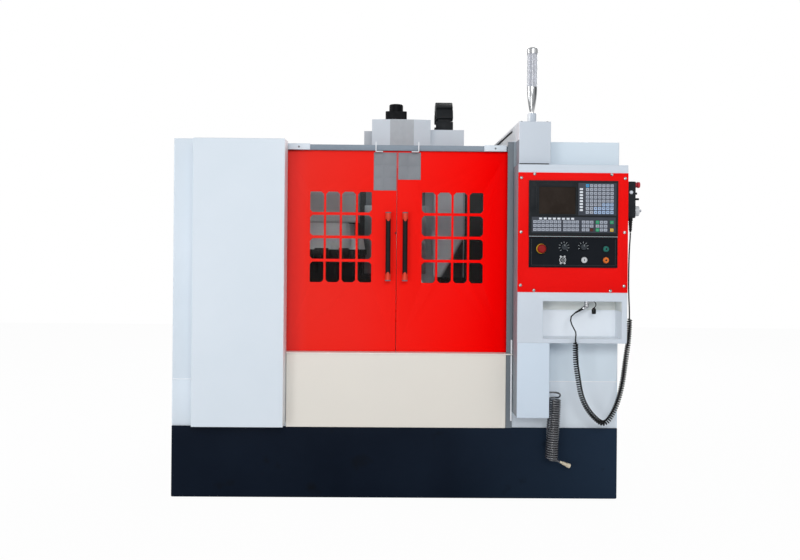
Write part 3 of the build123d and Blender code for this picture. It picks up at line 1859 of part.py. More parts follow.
gripper_bottom = drum_bottom - gripper_thickness
with BuildPart() as carousel:
    with BuildSketch(Plane((magazine_x, spindle_y, drum_bottom))):
        Circle(drum_radius)
    extrude(amount=drum_top - drum_bottom)
    fillet(carousel.faces().sort_by(Axis.Z)[0].edges(), drum_edge)
    with BuildSketch(Plane((magazine_x, spindle_y, gripper_bottom))):
        Circle(gripper_radius)
    extrude(amount=gripper_thickness + drum_edge)
    for tool in range(tool_count):
        place = Vector(tool_circle, 0, 0).rotate(Axis.Z, 360 * tool / tool_count)
        place += Vector(magazine_x, spindle_y, 0)
        tool_plane = Plane(origin=place, x_dir=(1, 0, 0), z_dir=(0, -1, 0))
        with BuildSketch(tool_plane):
            with BuildLine():
                Polyline(
                    (0, gripper_bottom - collet_height - cutter_height),
                    (cutter_radius, gripper_bottom - collet_height - cutter_height),
                    (cutter_radius, gripper_bottom - collet_height),
                    (collet_radius, gripper_bottom - collet_height),
                    (collet_radius, gripper_bottom),
                    (flange_radius, gripper_bottom),
                    (flange_radius, gripper_bottom + flange_height),
                    (shank_radius, gripper_bottom + flange_height),
                    (shank_end_radius, gripper_bottom + flange_height + shank_height),
                    (0, gripper_bottom + flange_height + shank_height),
                    close=True,
                )
            make_face()
        revolve(axis=Axis(place, (0, 0, 1)))
pieces["carousel"] = carousel

# Electrical cabinet and its door
with BuildPart() as electrical_cabinet:
    block(cabinet_x, cabinet_y, cabinet_z)
    fillet(electrical_cabinet.edges().filter_by(Axis.Z).group_by(Axis.Y)[0], edge)
    hollow_from_back(cabinet_x, cabinet_y, cabinet_z, cabinet_sheet)
    plate_front = cabinet_front + cabinet_sheet
    block(
        grown(cabinet_x, -drive_plate_margin),
        (plate_front, plate_front + drive_plate_gap + drive_plate_thickness),
        grown((base_height, cabinet_top), -drive_plate_margin),
    )
    drive_front = plate_front + drive_plate_gap + drive_plate_thickness
    for drive in range(drive_count):
        drive_x = sum(cabinet_x) / 2 + (drive - (drive_count - 1) / 2) * drive_pitch
        block(
            around(drive_x, drive_width / 2),
            (drive_front, drive_front + drive_depth),
            around(drive_z, drive_height / 2),
        )
    for hinge in range(hinge_count):
        hinge_z = (base_height + cabinet_top) / 2 + (hinge - (hinge_count - 1) / 2) * hinge_spacing
        with BuildSketch(Plane((hinge_x, hinge_y, hinge_z - hinge_length / 2))):
            Circle(hinge_radius)
        extrude(amount=hinge_length / 2 - clearance)
        with BuildSketch(Plane((hinge_x, hinge_y, hinge_z - hinge_length / 2))):
            Circle(hinge_pin_radius)
        extrude(amount=hinge_length)
        block(
            (cabinet_x[1], hinge_x),
            (cabinet_y[1] - hinge_length / 2, hinge_y),
            (hinge_z - hinge_length / 2, hinge_z - clearance),
        )
pieces["electrical_cabinet"] = electrical_cabinet

rack_door_rear = rack_door_front + rack_door_depth
with BuildPart() as cabinet_door:
    rack_door_z = (base_height + sheet, cabinet_top)
    block(cabinet_x, (rack_door_front, rack_door_rear), rack_door_z)
    fillet(cabinet_door.faces().sort_by(Axis.Y)[-1].edges(), edge)
    block(
        grown(cabinet_x, -cabinet_sheet),
        (rack_door_front - overrun, rack_door_rear - cabinet_sheet),
        grown(rack_door_z, -cabinet_sheet),
        Mode.SUBTRACT,
    )
    with BuildSketch(
        Plane(
            (
                cabinet_x[0] + rack_handle_inset,
                rack_door_rear,
                (base_height + cabinet_top) / 2,
            ),
            x_dir=(-1, 0, 0),
            z_dir=(0, 1, 0),
        )
    ):
        SlotOverall(rack_handle_length, 2 * rack_handle_radius, rotation=90)
    extrude(amount=rack_handle_rise)
    for hinge in range(hinge_count):
        hinge_z = (base_height + cabinet_top) / 2 + (hinge - (hinge_count - 1) / 2) * hinge_spacing
        with BuildSketch(Plane((hinge_x, hinge_y, hinge_z))):
            Circle(hinge_radius)
        extrude(amount=hinge_length / 2)
        block(
            (cabinet_x[1] - edge, hinge_x),
            (rack_door_front, hinge_y),
            (hinge_z, hinge_z + hinge_length / 2),
        )
        with BuildSketch(Plane((hinge_x, hinge_y, hinge_z - overrun))):
            Circle(hinge_pin_radius + hinge_pin_fit)
        extrude(amount=hinge_length / 2 + 2 * overrun, mode=Mode.SUBTRACT)
pieces["cabinet_door"] = cabinet_door

for label, piece in pieces.items():
    piece.part.label = label
    export_step(piece.part, f"parts/{label}.step")
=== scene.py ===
import json
import math

import bpy
from mathutils import Matrix, Vector

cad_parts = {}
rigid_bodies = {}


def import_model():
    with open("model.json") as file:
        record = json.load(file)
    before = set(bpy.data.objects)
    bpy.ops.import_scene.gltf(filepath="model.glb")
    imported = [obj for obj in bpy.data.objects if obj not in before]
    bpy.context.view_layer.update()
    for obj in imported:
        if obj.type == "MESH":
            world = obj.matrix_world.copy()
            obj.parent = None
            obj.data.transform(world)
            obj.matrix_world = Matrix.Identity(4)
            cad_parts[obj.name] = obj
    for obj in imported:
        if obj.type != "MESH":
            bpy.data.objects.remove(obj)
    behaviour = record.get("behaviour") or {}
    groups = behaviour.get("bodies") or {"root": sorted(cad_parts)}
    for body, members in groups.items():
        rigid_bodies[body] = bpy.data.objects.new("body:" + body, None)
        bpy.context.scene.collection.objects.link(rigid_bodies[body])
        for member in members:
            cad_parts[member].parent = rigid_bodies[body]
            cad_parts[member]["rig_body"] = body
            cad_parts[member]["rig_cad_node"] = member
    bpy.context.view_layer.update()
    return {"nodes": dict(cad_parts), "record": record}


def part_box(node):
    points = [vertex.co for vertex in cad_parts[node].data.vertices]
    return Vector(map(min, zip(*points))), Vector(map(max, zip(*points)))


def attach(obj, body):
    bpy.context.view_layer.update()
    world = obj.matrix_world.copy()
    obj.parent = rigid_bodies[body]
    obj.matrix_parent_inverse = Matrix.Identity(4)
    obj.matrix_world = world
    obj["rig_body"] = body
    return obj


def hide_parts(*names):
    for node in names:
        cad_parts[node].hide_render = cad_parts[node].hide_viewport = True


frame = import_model()
cad = frame["nodes"]
MM = 0.001

# faces that small pieces sit on, in millimetres along Y, where the front looks to -Y
door_face = -850
pad_face = -880
wall_face = -890
panel_face = -1043
operator_face = -1047
unit_face = -1049

# ways that turned pieces grow
forward, rightward, upward, downward = (0, -1, 0), (1, 0, 0), (0, 0, 1), (0, 0, -1)


# working by hand
def nothing_selected():
    """Drops the selection, because an operator acts on all that is selected."""
    bpy.ops.object.select_all(action="DESELECT")


def only(piece):
    """Makes one piece the selected and active one."""
    nothing_selected()
    piece.select_set(True)
    bpy.context.view_layer.objects.active = piece


def smooth(piece, degrees=35):
    """Shades the gentle turns of a piece as one surface and keeps its corners."""
    only(piece)
    bpy.ops.object.shade_smooth_by_angle(angle=math.radians(degrees))


def corners_rounded(piece, edge, steps=2, sharp=30):
    """Rounds the sharp corners of a piece by an edge radius in millimetres."""
    bevel = piece.modifiers.new("corners", "BEVEL")
    bevel.width = edge * MM
    bevel.segments = steps
    bevel.limit_method = "ANGLE"
    bevel.angle_limit = math.radians(sharp)
    only(piece)
    bpy.ops.object.modifier_apply(modifier=bevel.name)


def slab(low, high, edge):
    """A flat piece between two corners in millimetres, with rounded edges."""
    nothing_selected()
    low, high = Vector(low) * MM, Vector(high) * MM
    bpy.ops.mesh.primitive_cube_add(size=1, location=(low + high) / 2)
    piece = bpy.context.object
    piece.scale = high - low
    bpy.ops.object.transform_apply(location=True, rotation=True, scale=True)
    corners_rounded(piece, edge)
    smooth(piece)
    return piece


def turned(foot, way, rings, sides):
    """A round piece built ring by ring from its foot, each ring a height and a radius in mm."""
    nothing_selected()
    height, radius = rings[0]
    bpy.ops.mesh.primitive_circle_add(vertices=sides, radius=radius * MM, fill_type="NGON")
    piece = bpy.context.object
    bpy.ops.object.mode_set(mode="EDIT")
    for next_height, next_radius in rings[1:]:
        bpy.ops.mesh.extrude_region_move(
            TRANSFORM_OT_translate={"value": (0, 0, (next_height - height) * MM)}
        )
        share = next_radius / radius
        bpy.ops.transform.resize(
            value=(share, share, 1), center_override=(0, 0, next_height * MM)
        )
        height, radius = next_height, next_radius
    bpy.ops.mesh.select_all(action="SELECT")
    bpy.ops.mesh.normals_make_consistent(inside=False)
    bpy.ops.object.mode_set(mode="OBJECT")
    piece.rotation_mode = "QUATERNION"
    piece.rotation_quaternion = Vector((0, 0, 1)).rotation_difference(Vector(way))
    piece.location = Vector(foot) * MM
    bpy.ops.object.transform_apply(location=True, rotation=True, scale=True)
    smooth(piece)
    return piece


def copied(piece, move):
    """Another of a piece, moved by millimetres."""
    twin = piece.copy()
    twin.data = piece.data.copy()
    bpy.context.scene.collection.objects.link(twin)
    twin.data.transform(Matrix.Translation(Vector(move) * MM))
    return twin


def joined(parts):
    """Several parts made one piece."""
    nothing_selected()
    for part in parts:
        part.select_set(True)
    bpy.context.view_layer.objects.active = parts[0]
    bpy.ops.object.join()
    return parts[0]


def dress(piece, name, finish, body="machine"):
    """Names a piece, gives it its finish and lets it ride on its body."""
    piece.name = piece.data.name = name
    if finish is not None:
        piece.data.materials.clear()
        piece.data.materials.append(finish)
    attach(piece, body)
    return piece


def body_of_node(node):
    """The body that a CAD piece belongs to."""
    bodies = frame["record"]["behaviour"]["bodies"]
    return next(body for body, members in bodies.items() if node in members)


def span(node):
    """The lowest and highest corners of a CAD piece in millimetres."""
    low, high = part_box(node)
    return Vector(low) / MM, Vector(high) / MM


def with_soft_corners(node, finish, edge, crease=35):
    """A merged copy of a CAD piece with rounded corners, standing in its place."""
    merge_gap, flat_angle = 0.00001, math.radians(1)
    piece = cad[node].copy()
    piece.data = cad[node].data.copy()
    bpy.context.scene.collection.objects.link(piece)
    piece.parent = None
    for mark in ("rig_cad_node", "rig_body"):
        del piece[mark]
    only(piece)
    bpy.ops.mesh.customdata_custom_splitnormals_clear()
    bpy.ops.object.mode_set(mode="EDIT")
    bpy.ops.mesh.select_all(action="SELECT")
    bpy.ops.mesh.remove_doubles(threshold=merge_gap)
    bpy.ops.mesh.dissolve_limited(angle_limit=flat_angle)
    bpy.ops.object.mode_set(mode="OBJECT")
    corners_rounded(piece, edge)
    smooth(piece, crease)
    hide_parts(node)
    return dress(piece, node + "_finished", finish, body_of_node(node))


def second_finish(piece, finish, chosen):
    """Another finish for the faces that a rule on centre and normal chooses."""
    piece.data.materials.append(finish)
    other = len(piece.data.materials) - 1
    for face in piece.data.polygons:
        if chosen(face.center, face.normal):
            face.material_index = other


def faces_chamber(centre, normal):
    """True on the walls' inner faces, which look towards the middle of the work chamber."""
    chamber_middle = Vector((0, -0.2, 1.1))
    return (chamber_middle - centre).dot(normal) > 0


# finishes
def cloud(tree, place, scale, low, high, stretch=(1, 1, 1), detail=3.0):
    """A soft pattern that wanders between two values over the surface."""
    spread = tree.nodes.new("ShaderNodeMapping")
    spread.inputs["Scale"].default_value = stretch
    noise = tree.nodes.new("ShaderNodeTexNoise")
    noise.inputs["Scale"].default_value = scale
    noise.inputs["Detail"].default_value = detail
    reach = tree.nodes.new("ShaderNodeMapRange")
    for socket, value in (("From Min", 0.3), ("From Max", 0.7), ("To Min", low), ("To Max", high)):
        reach.inputs[socket].default_value = value
    tree.links.new(place, spread.inputs["Vector"])
    tree.links.new(spread.outputs["Vector"], noise.inputs["Vector"])
    tree.links.new(noise.outputs["Fac"], reach.inputs["Value"])
    return reach.outputs["Result"]


def mixed(tree, share, first, second):
    """A colour between two others; each is a colour or a socket."""
    mix = tree.nodes.new("ShaderNodeMix")
    mix.data_type = "RGBA"
    tree.links.new(share, mix.inputs[0])
    for socket, colour in ((mix.inputs[6], first), (mix.inputs[7], second)):
        if isinstance(colour, tuple):
            socket.default_value = (*colour, 1)
        else:
            tree.links.new(colour, socket)
    return mix.outputs[2]


def finish(name, colour, second, gloss, patch=4.0, grain=600.0, rise=0.05, metal=0.0,
           stretch=(1, 1, 1), marks=None, mark_scale=14.0, mark_edge=(0.66, 0.74), fades=(),
           **sockets):
    """A finish from nodes: two near colours in patches, uneven gloss, fine grain and a few marks.

    Each fade turns into its colour along a way, from a start to an end in metres.
    """
    material = bpy.data.materials.new(name)
    material.use_nodes = True
    tree = material.node_tree
    shader = tree.nodes["Principled BSDF"]
    place = tree.nodes.new("ShaderNodeTexCoord").outputs["Object"]
    shade = mixed(tree, cloud(tree, place, patch, 0, 1, stretch), colour, second)
    for way, start, end, far_colour in fades:
        along = tree.nodes.new("ShaderNodeVectorMath")
        along.operation = "DOT_PRODUCT"
        along.inputs[1].default_value = way
        run = tree.nodes.new("ShaderNodeMapRange")
        run.inputs["From Min"].default_value = start
        run.inputs["From Max"].default_value = end
        tree.links.new(place, along.inputs[0])
        tree.links.new(along.outputs["Value"], run.inputs["Value"])
        shade = mixed(tree, run.outputs["Result"], shade, far_colour)
    if marks:
        noise = tree.nodes.new("ShaderNodeTexNoise")
        noise.inputs["Scale"].default_value = mark_scale
        noise.inputs["Detail"].default_value = 6.0
        reach = tree.nodes.new("ShaderNodeMapRange")
        reach.inputs["From Min"].default_value, reach.inputs["From Max"].default_value = mark_edge
        tree.links.new(place, noise.inputs["Vector"])
        tree.links.new(noise.outputs["Fac"], reach.inputs["Value"])
        shade = mixed(tree, reach.outputs["Result"], shade, marks)
    tree.links.new(shade, shader.inputs["Base Color"])
    tree.links.new(cloud(tree, place, patch * 3, *gloss, stretch), shader.inputs["Roughness"])
    bump = tree.nodes.new("ShaderNodeBump")
    bump.inputs["Strength"].default_value = rise
    bump.inputs["Distance"].default_value = 0.001
    tree.links.new(cloud(tree, place, grain, 0, 1, stretch, 2.0), bump.inputs["Height"])
    tree.links.new(bump.outputs["Normal"], shader.inputs["Normal"])
    shader.inputs["Metallic"].default_value = metal
    for socket, value in sockets.items():
        shader.inputs[socket.replace("_", " ")].default_value = value
    return material


def white_coat(name, colour, second):
    """One of the sheet metal's whites; they differ a little from piece to piece, and some are lighter or
    darker copies that paint light or shade onto a piece.
    """
    return finish(name, colour, second, (0.36, 0.48), Specular_IOR_Level=0.12)


def key_plastic(name, colour, second):
    """The plastic of one colour of key."""
    return finish(name, colour, second, (0.4, 0.52), patch=60, Specular_IOR_Level=0.15)


white_paint = white_coat("white_paint", (0.655, 0.72, 0.785), (0.635, 0.705, 0.77))
box_white = white_coat("box_white", (0.585, 0.645, 0.715), (0.57, 0.63, 0.70))
# a darker copy of the white for the lamp box and cable trunk: painted shade
lamp_box_white = white_coat("lamp_box_white", (0.545, 0.60, 0.665), (0.53, 0.585, 0.65))
service_white = white_coat("service_white", (0.575, 0.665, 0.76), (0.56, 0.65, 0.745))
# a lighter copy of the white for the control box's recess: painted light that cancels the recess's shade
recess_white = white_coat("recess_white", (0.74, 0.78, 0.83), (0.71, 0.76, 0.81))
red_paint = finish(
    "red_paint", (0.78, 0.031, 0.0225), (0.80, 0.0240, 0.0150), (0.34, 0.44), patch=1.6,
    # the fades paint light: the doors go paler towards the left and full red towards the right, and the
    # far left edge is painted lighter where the cover's shade falls
    fades=[((1, 0, 0), -0.45, 0.46, (0.93, 0.0, 0.0)),
           ((-1, 0, 0), 0.42, 0.54, (0.90, 0.047, 0.041))],
    Specular_IOR_Level=0.01,
)
panel_red = finish(
    "panel_red", (0.79, 0.0085, 0.0075), (0.81, 0.0055, 0.0048), (0.34, 0.44), patch=3.0,
    Specular_IOR_Level=0.02,
)
cream_paint = finish(
    "cream_paint", (0.73, 0.70, 0.64), (0.71, 0.685, 0.63), (0.36, 0.48), patch=2.0,
    Specular_IOR_Level=0.15,
)
navy_paint = finish(
    "navy_paint", (0.0035, 0.0065, 0.0135), (0.0058, 0.0105, 0.0205), (0.40, 0.58), patch=2.2,
    marks=(0.004, 0.005, 0.007), mark_scale=9.0, mark_edge=(0.62, 0.80),
    # the fade paints light: the base grows lighter towards its right end
    fades=[((1, 0, 0), 0.25, 1.1, (0.0145, 0.0275, 0.0500))], Specular_IOR_Level=0.03,
)
grey_paint = finish(
    "grey_paint", (0.172, 0.198, 0.222), (0.150, 0.175, 0.200), (0.38, 0.5), Specular_IOR_Level=0.15,
)
strip_paint = finish(
    "strip_paint", (0.235, 0.28, 0.33), (0.21, 0.255, 0.305), (0.38, 0.5), Specular_IOR_Level=0.12,
)
cover_grey = finish(
    "cover_grey", (0.485, 0.525, 0.56), (0.45, 0.49, 0.525), (0.45, 0.6), patch=40, grain=900,
    Specular_IOR_Level=0.12,
)
cast_paint = finish(
    "cast_paint", (0.30, 0.33, 0.35), (0.25, 0.28, 0.30), (0.42, 0.6), patch=6, grain=220, rise=0.16,
    marks=(0.10, 0.105, 0.11), mark_scale=11.0, mark_edge=(0.68, 0.8), Specular_IOR_Level=0.2,
)
steel = finish(
    "ground_steel", (0.50, 0.51, 0.52), (0.42, 0.43, 0.44), (0.24, 0.42), patch=30, grain=500,
    rise=0.06, metal=1.0, stretch=(0.06, 1, 1),
)
way_steel = finish(
    "way_steel", (0.38, 0.40, 0.41), (0.30, 0.32, 0.33), (0.28, 0.46), patch=12, grain=400,
    rise=0.05, metal=0.9, stretch=(1, 0.08, 1),
)
# the chrome's colour wanders in vertical streaks between bright and near black: painted reflection
chrome = finish(
    "chrome", (0.54, 0.55, 0.56), (0.08, 0.085, 0.09), (0.08, 0.2), patch=60, grain=300, rise=0.02,
    metal=1.0, stretch=(1, 1, 0.03),
)
# the screws' colour wanders between bright and near-black metal: painted reflection
screw_zinc = finish(
    "screw_zinc", (0.62, 0.65, 0.65), (0.035, 0.04, 0.04), (0.2, 0.36), patch=120, grain=600,
    rise=0.05, metal=1.0,
)
black_plastic = finish(
    "black_plastic", (0.0078, 0.0100, 0.0125), (0.0115, 0.0140, 0.0168), (0.42, 0.58), patch=20,
    grain=1500, rise=0.08, Specular_IOR_Level=0.1,
)
panel_black = finish(
    "panel_black", (0.0042, 0.0060, 0.0090), (0.0060, 0.0080, 0.0115), (0.45, 0.6), patch=9,
    grain=1200, rise=0.05, Specular_IOR_Level=0.06,
)
grip_rubber = finish(
    "grip_rubber", (0.0045, 0.005, 0.006), (0.008, 0.009, 0.010), (0.5, 0.68), patch=30,
    grain=900, rise=0.12, Specular_IOR_Level=0.12,
)
pale_plate = finish(
    "pale_plate", (0.040, 0.046, 0.060), (0.048, 0.055, 0.070), (0.4, 0.5), patch=14,
    Specular_IOR_Level=0.1,
)
key_grey = key_plastic("key_grey", (0.37, 0.405, 0.47), (0.32, 0.355, 0.42))
key_white = finish(
    "key_white", (0.68, 0.72, 0.77), (0.62, 0.66, 0.72), (0.38, 0.5), patch=60, Specular_IOR_Level=0.15,
)
key_pale_blue = key_plastic("key_pale_blue", (0.36, 0.49, 0.70), (0.31, 0.43, 0.63))
key_blue = key_plastic("key_blue", (0.05, 0.33, 0.62), (0.04, 0.28, 0.56))
key_green = key_plastic("key_green", (0.02, 0.38, 0.16), (0.015, 0.32, 0.13))
key_yellow = key_plastic("key_yellow", (0.72, 0.50, 0.045), (0.66, 0.45, 0.04))
key_brown = finish(
    "key_brown", (0.085, 0.028, 0.022), (0.07, 0.022, 0.018), (0.4, 0.52), patch=60,
    Specular_IOR_Level=0.1,
)
key_print = finish(
    "key_print", (0.14, 0.155, 0.19), (0.17, 0.185, 0.22), (0.5, 0.6), patch=80, Specular_IOR_Level=0.1,
)
mark_white = finish(
    "mark_white", (0.44, 0.48, 0.50), (0.38, 0.42, 0.44), (0.45, 0.6), patch=80, Specular_IOR_Level=0.1,
)
plate_grey = finish(
    "plate_grey", (0.225, 0.240, 0.262), (0.205, 0.218, 0.240), (0.4, 0.55), patch=16, grain=1100,
    rise=0.04, Specular_IOR_Level=0.15,
)
plate_line = finish(
    "plate_line", (0.15, 0.165, 0.19), (0.12, 0.135, 0.16), (0.5, 0.6), patch=30,
    Specular_IOR_Level=0.1,
)
stop_red = finish(
    "stop_red", (0.26, 0.010, 0.010), (0.21, 0.008, 0.008), (0.3, 0.42), patch=50,
    Specular_IOR_Level=0.1,
)
pendant_red = finish(
    "pendant_red", (0.50, 0.035, 0.050), (0.43, 0.028, 0.040), (0.3, 0.42), patch=50,
    Specular_IOR_Level=0.1,
)
side_white = white_coat("side_white", (0.655, 0.745, 0.82), (0.64, 0.73, 0.805))
low_white = white_coat("low_white", (0.655, 0.80, 0.93), (0.64, 0.785, 0.915))
grip_orange = finish(
    "grip_orange", (0.70, 0.040, 0.014), (0.58, 0.055, 0.028), (0.36, 0.5), patch=40,
    Specular_IOR_Level=0.25,
)
ring_yellow = finish(
    "ring_yellow", (0.70, 0.44, 0.02), (0.62, 0.38, 0.018), (0.36, 0.48), patch=50,
    Specular_IOR_Level=0.2,
)
button_green = finish(
    "button_green", (0.003, 0.14, 0.11), (0.002, 0.10, 0.08), (0.2, 0.3), patch=60,
    Specular_IOR_Level=0.3,
)
button_orange = finish(
    "button_orange", (0.74, 0.17, 0.012), (0.62, 0.13, 0.01), (0.2, 0.3), patch=60,
    Specular_IOR_Level=0.3,
)
cord_black = finish(
    "cord_black", (0.0035, 0.004, 0.0045), (0.006, 0.0065, 0.0075), (0.2, 0.3), patch=60,
    Specular_IOR_Level=0.14,
)
chain_black = finish(
    "chain_black", (0.009, 0.0105, 0.012), (0.0125, 0.0145, 0.0165), (0.4, 0.55), patch=25, grain=800,
    rise=0.1, Specular_IOR_Level=0.1,
)
motor_black = finish(
    "motor_black", (0.0035, 0.004, 0.005), (0.0055, 0.006, 0.0075), (0.36, 0.52), patch=18, grain=700,
    rise=0.1, Specular_IOR_Level=0.05,
)
hose_smoke = finish(
    "hose_smoke", (0.030, 0.032, 0.040), (0.075, 0.080, 0.095), (0.08, 0.16), patch=30, grain=200,
    rise=0.03, Transmission_Weight=0.15, IOR=1.55, Specular_IOR_Level=0.8,
)
ivory = finish(
    "ivory", (0.58, 0.52, 0.40), (0.44, 0.39, 0.29), (0.28, 0.42), patch=60, metal=0.25,
)
silver = finish(
    "silver_plastic", (0.55, 0.57, 0.59), (0.48, 0.50, 0.52), (0.3, 0.42), patch=40,
    Specular_IOR_Level=0.3,
)
drum_paint = finish(
    "drum_paint", (0.67, 0.705, 0.70), (0.62, 0.655, 0.65), (0.4, 0.52), patch=8, Specular_IOR_Level=0.2,
)
window_clear = finish(
    "window_clear", (0.80, 0.83, 0.84), (0.76, 0.79, 0.805), (0.015, 0.05), patch=5, grain=60,
    rise=0.004, Transmission_Weight=1.0, IOR=1.12,
)
lens_clear = finish(
    "lens_clear", (0.74, 0.76, 0.82), (0.60, 0.62, 0.68), (0.10, 0.18), patch=70, grain=220,
    rise=0.05, Transmission_Weight=0.45, IOR=1.42, stretch=(1, 1, 0.03), Specular_IOR_Level=0.3,
)
lens_core = finish(
    "lens_core", (0.36, 0.38, 0.42), (0.30, 0.32, 0.35), (0.3, 0.45), patch=60, Specular_IOR_Level=0.2,
)
# the plug's colour wanders between bright and dark metal: painted reflection
plug_metal = finish(
    "plug_metal", (0.50, 0.51, 0.53), (0.16, 0.165, 0.175), (0.16, 0.3), patch=120, grain=400, rise=0.05,
    metal=1.0,
)
# near black for the faces inside the work chamber and under the tool drum: painted shade
chamber_painted_shade = finish(
    "chamber_painted_shade", (0.050, 0.052, 0.052), (0.038, 0.040, 0.040), (0.3, 0.5), patch=5, grain=150,
    marks=(0.02, 0.021, 0.021), mark_scale=7.0, mark_edge=(0.55, 0.75), Specular_IOR_Level=0.1,
)
column_paint = finish(
    "column_paint", (0.60, 0.64, 0.665), (0.54, 0.58, 0.605), (0.42, 0.6), patch=6, grain=220,
    rise=0.12, Specular_IOR_Level=0.15,
)
# painted shade and light on the column's front: dark on its left part, lighter towards its right, and
# near black in a diagonal patch at its lower right
column_painted_light_and_shade = finish(
    "column_painted_light_and_shade", (0.10, 0.104, 0.106), (0.08, 0.084, 0.086), (0.42, 0.6), patch=6, grain=220,
    rise=0.12, Specular_IOR_Level=0.15,
    fades=[((1, 0, 0), -0.16, 0.20, (0.80, 0.84, 0.87)),
           ((0.874, 0, -0.486), -0.268, -0.248, (0.045, 0.048, 0.049))],
)
frame_grey = finish(
    "frame_grey", (0.050, 0.056, 0.063), (0.038, 0.043, 0.050), (0.4, 0.5), patch=40,
    Specular_IOR_Level=0.1,
)
# a lighter copy of the white paint; on the cover's and trunk's sides, the seams and the magazine lid it
# is painted light
bright_white = finish(
    "bright_white", (0.86, 0.88, 0.91), (0.80, 0.83, 0.87), (0.36, 0.48), patch=20,
    Specular_IOR_Level=0.12,
)
recess_grey = finish(
    "recess_grey", (0.66, 0.69, 0.665), (0.61, 0.64, 0.62), (0.4, 0.52), patch=10,
    Specular_IOR_Level=0.12,
)
pod_grey = finish(
    "pod_grey", (0.54, 0.57, 0.605), (0.51, 0.54, 0.575), (0.4, 0.52), patch=8, Specular_IOR_Level=0.12,
)
sill_cream = finish(
    "sill_cream", (0.80, 0.78, 0.74), (0.77, 0.75, 0.71), (0.36, 0.48), patch=8, Specular_IOR_Level=0.1,
)
# a darker grey; on the control and service boxes' left sides it is painted shade
side_grey = finish(
    "side_grey", (0.30, 0.345, 0.385), (0.27, 0.315, 0.355), (0.4, 0.5), patch=8, Specular_IOR_Level=0.1,
)
knob_grey = finish(
    "knob_grey", (0.026, 0.032, 0.039), (0.034, 0.041, 0.049), (0.4, 0.55), patch=50,
    Specular_IOR_Level=0.1,
)
screw_dark = finish(
    "screw_dark", (0.20, 0.215, 0.23), (0.13, 0.14, 0.15), (0.35, 0.5), patch=200, Specular_IOR_Level=0.2,
)
seal_black = finish(
    "seal_black", (0.010, 0.011, 0.012), (0.016, 0.017, 0.019), (0.5, 0.65), patch=40,
    Specular_IOR_Level=0.1,
)
# the screen's lighter marks are painted glare on its film: painted reflection
screen_glass = finish(
    "screen_glass", (0.020, 0.0145, 0.0115), (0.030, 0.0225, 0.0185), (0.2, 0.3), patch=14, grain=40,
    rise=0.006, marks=(0.055, 0.043, 0.037), mark_scale=26.0, mark_edge=(0.66, 0.80),
    Specular_IOR_Level=0.03,
)


# camera
camera_place = (-0.0357, -5.0719, 1.1901)
camera_yaw, camera_roll = math.radians(-0.7097), math.radians(0.5)
bpy.ops.object.camera_add()
camera = bpy.context.object
camera.name = "photo_camera"
camera.matrix_world = (
    Matrix.Translation(camera_place)
    @ Matrix.Rotation(camera_yaw, 4, "Z")
    @ Matrix.Rotation(math.pi / 2, 4, "X")
    @ Matrix.Rotation(camera_roll, 4, "Z")
)
camera.data.sensor_width = 36
camera.data.lens = 39.93
camera.data.shift_y = -0.044
bpy.context.scene.camera = camera


# cords
def metres(route):
    """A route's points, turned from millimetres into metres."""
    return [Vector(place) * MM for place in route]


def smooth_curve(name, points, steps):
    """A curve with one smooth spline, bent by points in metres."""
    curve = bpy.data.curves.new(name, "CURVE")
    curve.dimensions = "3D"
    curve.resolution_u = steps
    spline = curve.splines.new("NURBS")
    spline.points.add(len(points) - 1)
    for point, place in zip(spline.points, points):
        point.co = (*place, 1)
    spline.order_u = 3
    spline.use_endpoint_u = True
    return curve


def line_of(route):
    """Points in metres along the smooth line that a route's bends give."""
    guide = smooth_curve("guide", metres(route), 24)
    holder = bpy.data.objects.new("guide", guide)
    mesh = bpy.data.meshes.new_from_object(holder)
    line = [corner.co.copy() for corner in mesh.vertices]
    bpy.data.meshes.remove(mesh)
    bpy.data.objects.remove(holder)
    bpy.data.curves.remove(guide)
    return line


def spaced(line, step):
    """Points along a line at even steps."""
    points, left = [line[0]], step
    for start, end in zip(line, line[1:]):
        run = (end - start).length
        while run and left <= run:
            points.append(start.lerp(end, left / run))
            left += step
        left -= run
    return points


def wound(line, radius, pitch, per_turn):
    """The wire of a curly cord: a coil round a line that grows from it and closes on it."""
    spots = spaced(line, pitch * MM / per_turn)
    last = len(spots) - 1
    side, wire = Vector((0, 1, 0)), []
    for step, spot in enumerate(spots):
        ahead = spots[min(step + 1, last)] - spots[max(step - 1, 0)]
        ahead.normalize()
        side = (side - ahead * side.dot(ahead)).normalized()
        angle = 2 * math.pi * step / per_turn
        grown = min(1, step / per_turn, (last - step) / per_turn)
        out = side * math.cos(angle) + ahead.cross(side) * math.sin(angle)
        wire.append(spot + out * radius * MM * grown)
    return wire


def cord_piece(name, points, radius, steps, sides):
    """A cord as one smooth spline of a round section."""
    curve = smooth_curve(name, points, steps)
    curve.bevel_depth = radius * MM
    curve.bevel_resolution = sides
    curve.use_fill_caps = True
    piece = bpy.data.objects.new(name, curve)
    bpy.context.scene.collection.objects.link(piece)
    return piece


